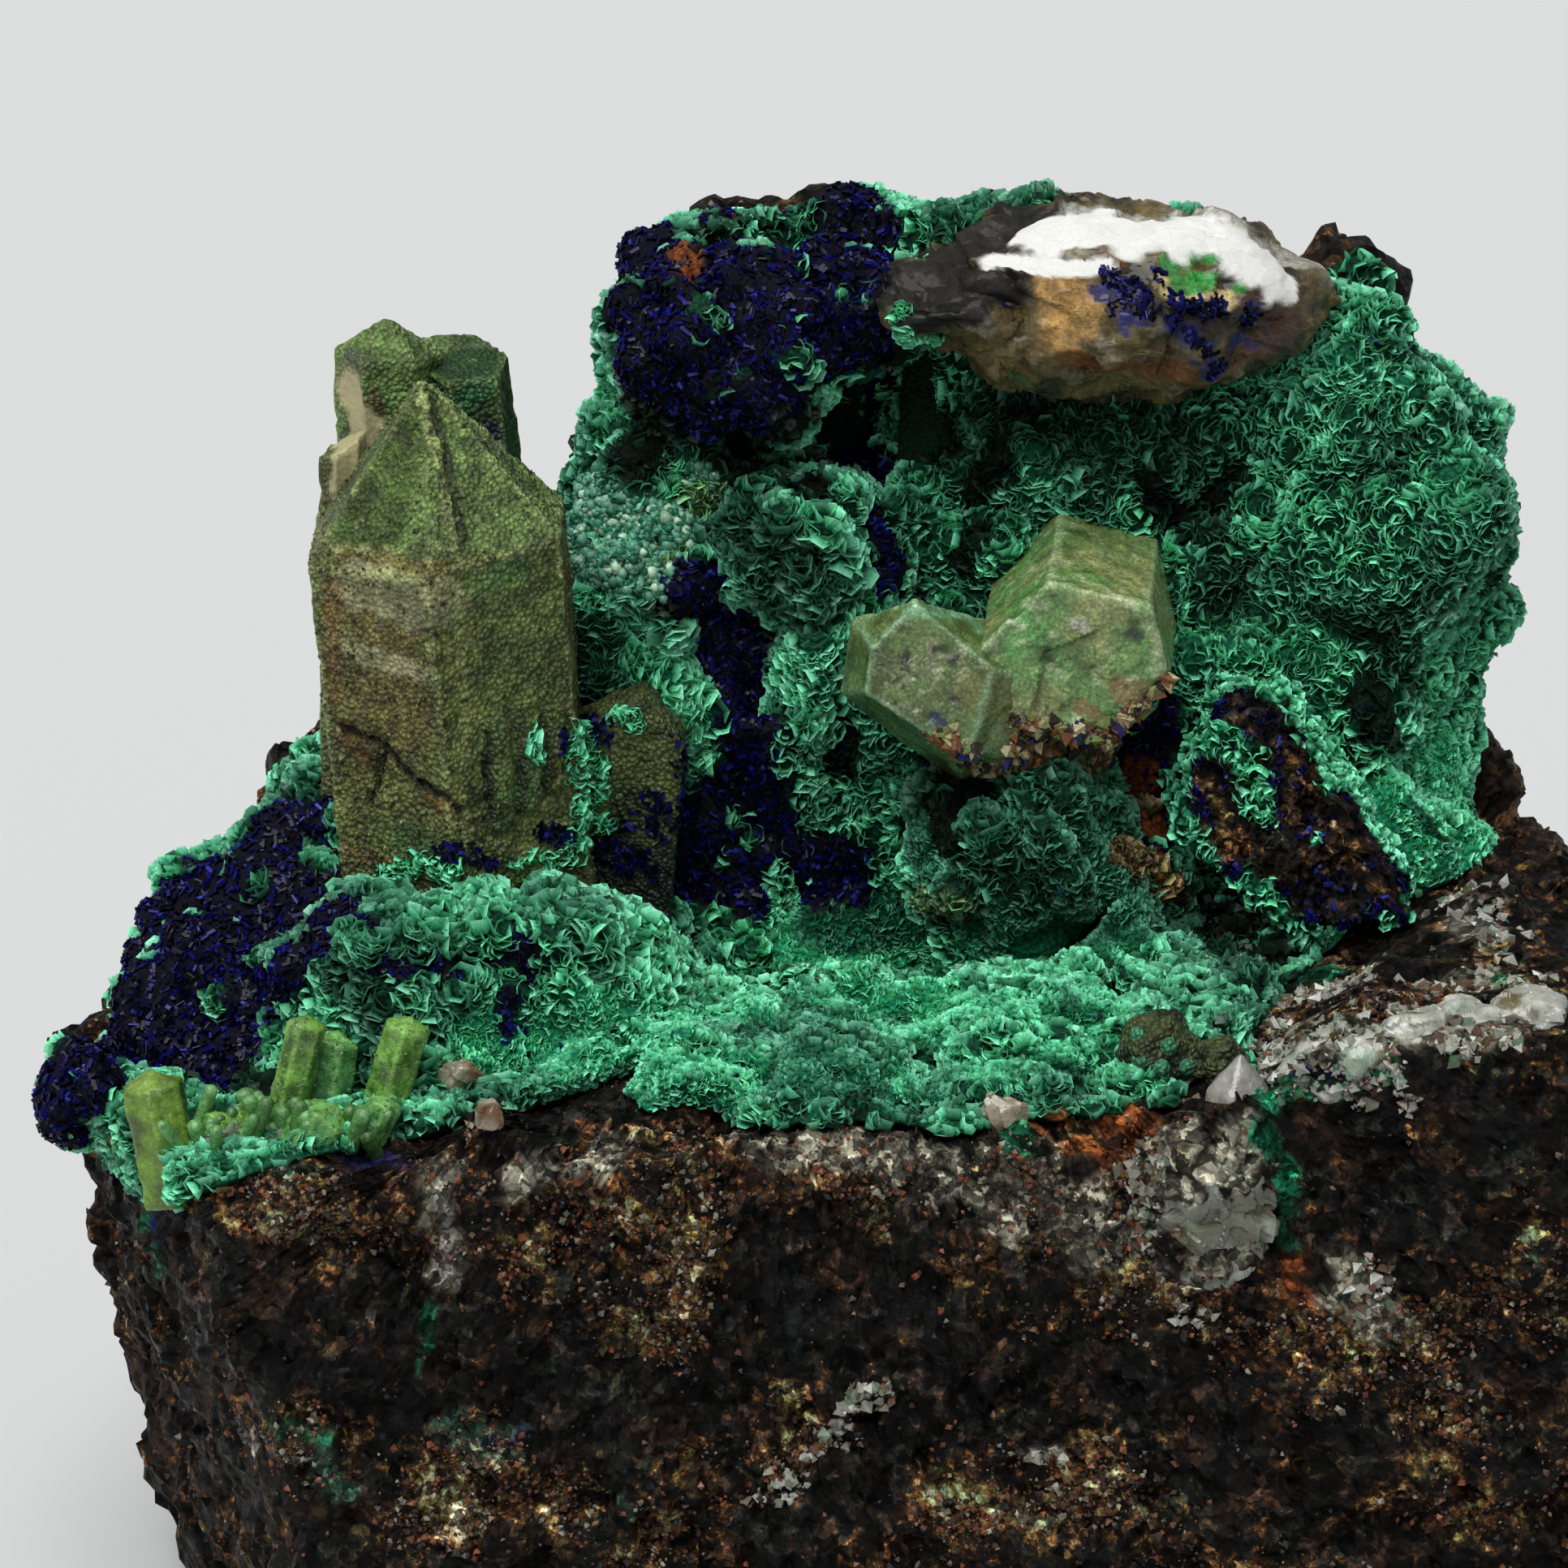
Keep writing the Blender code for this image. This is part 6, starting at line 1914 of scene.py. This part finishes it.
def makePetals(number):
    chance = np.random.default_rng(300 + number)
    bed = ground.along(sprigBed)

    def weightOf(shares, base):
        blue = shares["azurite"] * (1 - shares["tufts"])
        relief = rosettes(base, crust["clusters"])
        weight = (1 + (petals["fineShare"] - 1) * shares["fine"]) * (1 - 0.995 * smoothStep(0.0, 0.6, blue))
        weight = weight * (1 - 0.92 * shares["granules"]) * (0.35 + 0.65 * smoothStep(-0.9, -0.1, relief))
        return weight * (1 - 0.8 * inZone(base, bed)) * (1 - 0.5 * shares["dark"])

    points, normals, bases = scatterOnCrust(petals["count"], chance, weightOf)
    count = len(points)
    shares = zoneShares(bases)
    relief = rosettes(bases, crust["clusters"])
    shine = between(chance, *petals["light"], count)
    shine = shine + 0.6 * shares["fine"] * (between(chance, 1.0, 3.2, count) - shine)
    # painted shade: each petal is painted darker where the rosettes stand back and in the zones of painted
    # shadow and shade, and lighter in the zone of painted light; broad random patches vary it too
    depth = 0.12 + 0.88 * smoothStep(-0.95, 0.30, relief)
    depth = depth * (0.52 + 0.48 * patches(bases, -0.4, 0.3, 5.0, 303, 3))
    depth = depth + 0.8 * shares["bright"] * (1 - depth)
    depth = depth * (1 - 0.95 * shares["dark"]) * (1 - 0.62 * shares["paintedShade"])
    tint = petalTints(points, shares, shine, depth, count, chance)
    corners = petalShapes(points, normals, bases, shares, count, chance)
    makeMesh(f"malachitePetals{number}", corners.reshape(-1, 3), [stampedFaces(petalFaces, count, 8)],
             tint.reshape(-1, 4), petalLook, smooth=False)


# Where malachite and azurite have grown over the plate, the foot of the prism and the nodule
plateMoss = (
    (16, 718, 905, 728, 960, 722, 1000), (12, 745, 1012, 705, 1022), (8, 760, 880, 780, 884),
)
plateBlue = (
    (14, 705, 880, 745, 900), (22, 740, 1045, 790, 1065), (14, 800, 985, 815, 1030),
    (10, 836, 900, 842, 1000), (14, 760, 1015, 800, 1010),
)
prismMoss = (
    (13, 470, 1075, 520, 1062, 560, 1080), (12, 640, 1062, 700, 1050), (11, 704, 900, 708, 960),
    (9, 716, 980, 712, 1040), (6, 655, 900, 662, 930),
)
prismBlue = (
    (11, 545, 1045, 600, 1062), (13, 668, 1022, 702, 1035), (7, 690, 905, 700, 925),
    (10, 450, 1090, 470, 1085),
)
noduleBlue = (
    (9, 1360, 335, 1375, 360, 1365, 385), (10, 1395, 350, 1410, 385), (12, 1440, 365, 1470, 385, 1500, 378),
    (12, 1445, 400, 1480, 430, 1500, 450), (7, 1530, 380, 1545, 400), (7, 1415, 330, 1425, 345),
)
curlMoss = (
    (8, 1106, 372, 1106, 410, 1122, 436), (5, 1140, 446, 1150, 440),
)


# a skin, the strokes and count of petals on it, those of blades, and how ragged their edge is
overgrown = (
    (plateRings, plateMoss, 260, plateBlue, 320, 0.35),
    (prismRings, prismMoss, 330, prismBlue, 240, 0.35),
    (noduleRings, (), 1, noduleBlue, 560, 0.9),
    (nodulePlateRings, curlMoss, 70, (), 1, 0.35),
)


def bladeShapes(points, normals, chance):
    count = len(points)
    along = turnedAbout(normals, chance)
    lift = chance.normal(size=(count, 1)) * 0.35
    along = unit(along + normals * lift)
    up = unit(normals - along * (along * normals).sum(axis=1, keepdims=True))
    side = np.cross(up, along)
    long = 0.5 * between(chance, *blades["length"], count)
    wide = between(chance, *blades["width"], count)
    high = between(chance, *blades["height"], count)
    corner = np.array([(x, y, z) for z in (0, 1) for y in (-1, 1) for x in (-1, 1)], float)
    places = (points[:, None] + along[:, None] * (corner[None, :, :1] * long[:, None, None])
              + side[:, None] * (corner[None, :, 1:2] * wide[:, None, None])
              + up[:, None] * (corner[None, :, 2:] * high[:, None, None] - blades["sink"]))
    kind = chance.random(count)
    # deep to mid blue at random; a few blades are painted pale as glints
    tint = painted(points, "azuriteDeep", ("azuriteBlue", smoothStep(0.40, 1.0, kind)),
                   ("azuritePaintedGlint", 0.35 * smoothStep(0.93, 0.98, kind)))
    return places.reshape(-1, 3), repeated(tint, 8, 0.3, chance)


def makeBlades():
    chance = np.random.default_rng(311)

    def weightOf(shares, base):
        return shares["azurite"] * (1 - 0.85 * shares["tufts"]) * (1 - 0.8 * shares["rust"]) + 0.004

    points, normals, _ = scatterOnCrust(blades["count"], chance, weightOf)
    corners, tint = bladeShapes(points, normals, chance)
    makeMesh("azuriteBlades", corners, [stampedFaces(boxFaces, len(points), 8)], tint, azuriteLook,
             smooth=False)


def makeOvergrowth():
    # the same petals and blades on the block, the plate, the foot of the prism and the nodule
    chance = np.random.default_rng(351)
    moss, blue = blockZones(blockRings)
    seen = smoothStep(-0.1, 0.2, gridNormals(blockRings) @ np.array([0.1, -0.94, 0.34]))
    skins = [(blockRings, moss ** 3 * seen, 1500, blue ** 2 * seen, 520)]
    for rings, mossy, mossCount, bluish, blueCount, ragged in overgrown:
        own = Ground(rings)
        moss, blue = inZone(rings, own.along(mossy)), inZone(rings, own.along(bluish), ragged)
        skins.append((rings, moss, mossCount, blue, blueCount))
    petalParts, petalTones, bladeParts, bladeTones = [], [], [], []
    for rings, mossy, count, bluish, blueCount in skins:
        spots = Scatter(rings, mossy + 1e-6, count, chance)
        shares = {name: np.zeros(count) for name in crustZones}
        shares["fine"] = np.full(count, 0.5)
        shine = between(chance, 0.7, 2.6, count)
        tones = petalTints(spots.points, shares, shine, np.ones(count), count, chance)
        corners = petalShapes(spots.points, spots.normals, spots.points, shares, count, chance)
        petalTones.append(tones.reshape(-1, 4))
        petalParts.append(corners.reshape(-1, 3))
        spots = Scatter(rings, bluish + 1e-6, blueCount, chance)
        corners, tones = bladeShapes(spots.points, spots.normals, chance)
        bladeParts.append(corners)
        bladeTones.append(tones)
    petalTotal = sum(skin[2] for skin in skins)
    bladeTotal = sum(skin[4] for skin in skins)
    makeMesh("blockMoss", np.concatenate(petalParts), [stampedFaces(petalFaces, petalTotal, 8)],
             np.concatenate(petalTones), petalLook, smooth=False)
    makeMesh("blockAzurite", np.concatenate(bladeParts), [stampedFaces(boxFaces, bladeTotal, 8)],
             np.concatenate(bladeTones), azuriteLook, smooth=False)


def makeGrains(name, spots, tint, finish, chance, solid=octahedron, smooth=False):
    # most are small: the size rises with the square of a random number
    _, low, high = grains[name]
    corners = grainCorners(solid, spots, low + (high - low) * chance.random(len(spots)) ** 2, chance)
    faces = stampedFaces(solid[1], len(spots), len(solid[0]))
    makeMesh(name, corners.reshape(-1, 3), [faces], repeated(tint, len(solid[0]), 0.15, chance), finish,
             smooth)


def makeGranules():
    chance = np.random.default_rng(321)
    points, _, _ = scatterOnCrust(grains["paleGranules"][0], chance,
                                  lambda shares, base: shares["granules"] + 1e-5)
    tint = graded(points, chance.random(len(points)), "granule", ((190, 226, 192), 0.5, 1.0))
    tint = graded(points, chance.random(len(points)), tint, (shades["malachiteMid"] * 0.4, 0.35, 0.8))
    makeGrains("paleGranules", points, tint, petalLook, chance, icosahedron, True)


def makeSugar():
    # small grains that dust the prism, thicker near its foot
    chance = np.random.default_rng(331)
    height = prismRings[..., 2]
    weight = (0.3 + patches(prismRings, -0.3, 0.7, 2.4, 332)) * (height > 46)
    weight = weight * (0.6 + 0.6 * smoothStep(60.0, 50.0, height))
    points = Scatter(prismRings, weight, grains["crystalSugar"][0], chance).points
    tint = painted(points, (104, 132, 70), ((104, 106, 58), smoothStep(73.3, 72.7, points[:, 2])))
    tint = graded(points, chance.random(len(points)), tint, ((150, 162, 112), 0.75, 1.0),
                  ((56, 62, 30), 0.35, 0.05))
    makeGrains("crystalSugar", points, tint, dustedLook, chance)


def makeSprigDust():
    # the same grains on all the sprigs but the glossy first one
    chance = np.random.default_rng(381)
    count = grains["sprigDust"][0] // (len(sprigRings) - 1)
    spots = np.concatenate([Scatter(rings, np.ones(rings.shape[:2]), count, chance).points
                            for rings in sprigRings[1:]])
    tint = painted(spots, (132, 190, 100), ((70, 120, 50), chance.random(len(spots))))
    makeGrains("sprigDust", spots, tint, greenLook, chance)


def makeRockGrains():
    # rusty, pale and dark grains that stand out of the broken rock where it is rich
    chance = np.random.default_rng(341)
    bare = np.linspace(0, len(rockSkin), len(rockSkin))[:, None] > rock["rowsInside"]
    weight = bare * (rockSkin[..., 2] > 0.8) * (0.02 + smoothStep(0.35, 0.9, rockRich))
    weight = weight * (0.4 + smoothStep(-10.0, -22.0, rockSkin[..., 1]))
    spots = Scatter(rockSkin, weight, grains["rockGrains"][0], chance)
    kind = chance.random(len(spots.points)) + 0.35 * (spots.read(rockRich) - 0.6)
    tint = graded(spots.points, kind, "rockDark", ("rockBrown", 0.2, 0.4),
                  (shades["rockRust"] * 0.8, 0.45, 0.6), ("rockGrey", 0.80, 0.92),
                  ("rockCream", 0.97, 1.05))
    tint = tint * between(chance, 0.35, 0.95, len(tint))[:, None]
    makeGrains("rockGrains", spots.points, tint, grainLook, chance)


# Where broken quartz stands out of the rock
quartzStrokes = (
    (40, 1540, 1290, 1650, 1270, 1760, 1260, 1880, 1250), (36, 1560, 1230, 1700, 1215, 1850, 1200),
    (34, 1540, 1320, 1620, 1315, 1700, 1310), (22, 1400, 1400, 1400, 1540, 1470, 1600),
    (22, 1670, 1580, 1700, 1620), (30, 1780, 1120, 1840, 1140, 1860, 1200),
    (16, 900, 1860, 970, 1800, 1040, 1750, 1080, 1720), (12, 1262, 1790, 1300, 1790),
)


def makeQuartzBits():
    chance = np.random.default_rng(361)
    weight = inZone(rockSkin, ground.along(quartzStrokes), 1.1, 2.0)
    weight = weight * patches(rockSkin, -0.5, 0.5, 1.6, 362)
    spots = Scatter(rockSkin, weight, grains["quartzBits"][0], chance)
    places = spots.points - 0.08 * spots.normals
    tint = graded(places, chance.random(len(places)), (244, 246, 230), ((132, 126, 100), 0.3, 0.85),
                  ((134, 88, 52), 0.78, 0.92), ((110, 150, 112), 0.12, 0.02))
    makeGrains("quartzBits", places, tint, clearLook, chance)


# Where the pair is broken underneath, in the picture's pixels
pairStrokes = (
    (16, 1150, 915, 1200, 945, 1250, 965), (20, 1265, 905, 1330, 930, 1400, 895),
    (16, 1240, 935, 1300, 962, 1380, 930), (12, 1420, 875, 1440, 850),
)


def makePairCrumbs():
    chance = np.random.default_rng(371)
    places = []
    for rings in pairRings:
        weight = inZone(rings, Ground(rings).along(pairStrokes), 0.5, 1.0) + 1e-6
        places.append(Scatter(rings, weight, grains["pairCrumbs"][0] // 2, chance).points)
    places = np.concatenate(places)
    tint = graded(places, chance.random(len(places)), (40, 34, 24), ((124, 78, 40), 0.3, 0.5),
                  ((170, 160, 118), 0.55, 0.7), ((110, 126, 66), 0.75, 0.8), ("azuriteBlue", 0.93, 0.95))
    makeGrains("pairCrumbs", places, tint, grainLook, chance)


for number in (1, 2, 3):
    makePetals(number)
makeOvergrowth()
makeBlades()
makeGranules()
makeSugar()
makeSprigDust()
makeRockGrains()
makeQuartzBits()
makePairCrumbs()
print("small crystals made")


def makeCamera():
    eye, back = pictureFrame()
    right = np.array([1.0, 0.0, 0.0])
    turn = np.column_stack([right, np.cross(back, right), back])
    data = bpy.data.cameras.new("camera")
    data.sensor_width = view["sensor"]
    data.lens = view["sensor"] * view["distance"] / view["across"]
    data.clip_end = view["clipEnd"]
    camera = bpy.data.objects.new("camera", data)
    bpy.context.scene.collection.objects.link(camera)
    camera.location = eye * mm
    camera.rotation_euler = Matrix(turn.tolist()).to_euler()
    bpy.context.scene.camera = camera


def makeLight():
    sun = bpy.data.lights.new("sun", "SUN")
    sun.energy = light["sunStrength"]
    sun.angle = math.radians(light["sunAngle"])
    lamp = bpy.data.objects.new("sun", sun)
    lamp.rotation_euler = [math.radians(turn) for turn in light["sunTurn"]]
    bpy.context.scene.collection.objects.link(lamp)
    world = bpy.data.worlds.new("studio")
    world.use_nodes = True
    sky = world.node_tree.nodes["Background"]
    sky.inputs["Color"].default_value = (*light["sky"], 1.0)
    sky.inputs["Strength"].default_value = light["skyStrength"]
    bpy.context.scene.world = world
    bpy.context.scene.view_settings.view_transform = "Standard"


def makeFloor():
    half = light["floorHalf"] * mm
    mesh = bpy.data.meshes.new("floor")
    corners = [(x * half, y * half, 0) for x, y in ((-1, -1), (1, -1), (1, 1), (-1, 1))]
    mesh.from_pydata(corners, [], [(0, 1, 2, 3)])
    paper = {"Base Color": (*light["floor"], 1.0), "Roughness": 1.0, "Specular IOR Level": 0.0}
    mesh.materials.append(Finish("paper", paper).material)
    floor = bpy.data.objects.new("floor", mesh)
    bpy.context.scene.collection.objects.link(floor)


makeCamera()
makeLight()
makeFloor()
print("camera, light and floor made")
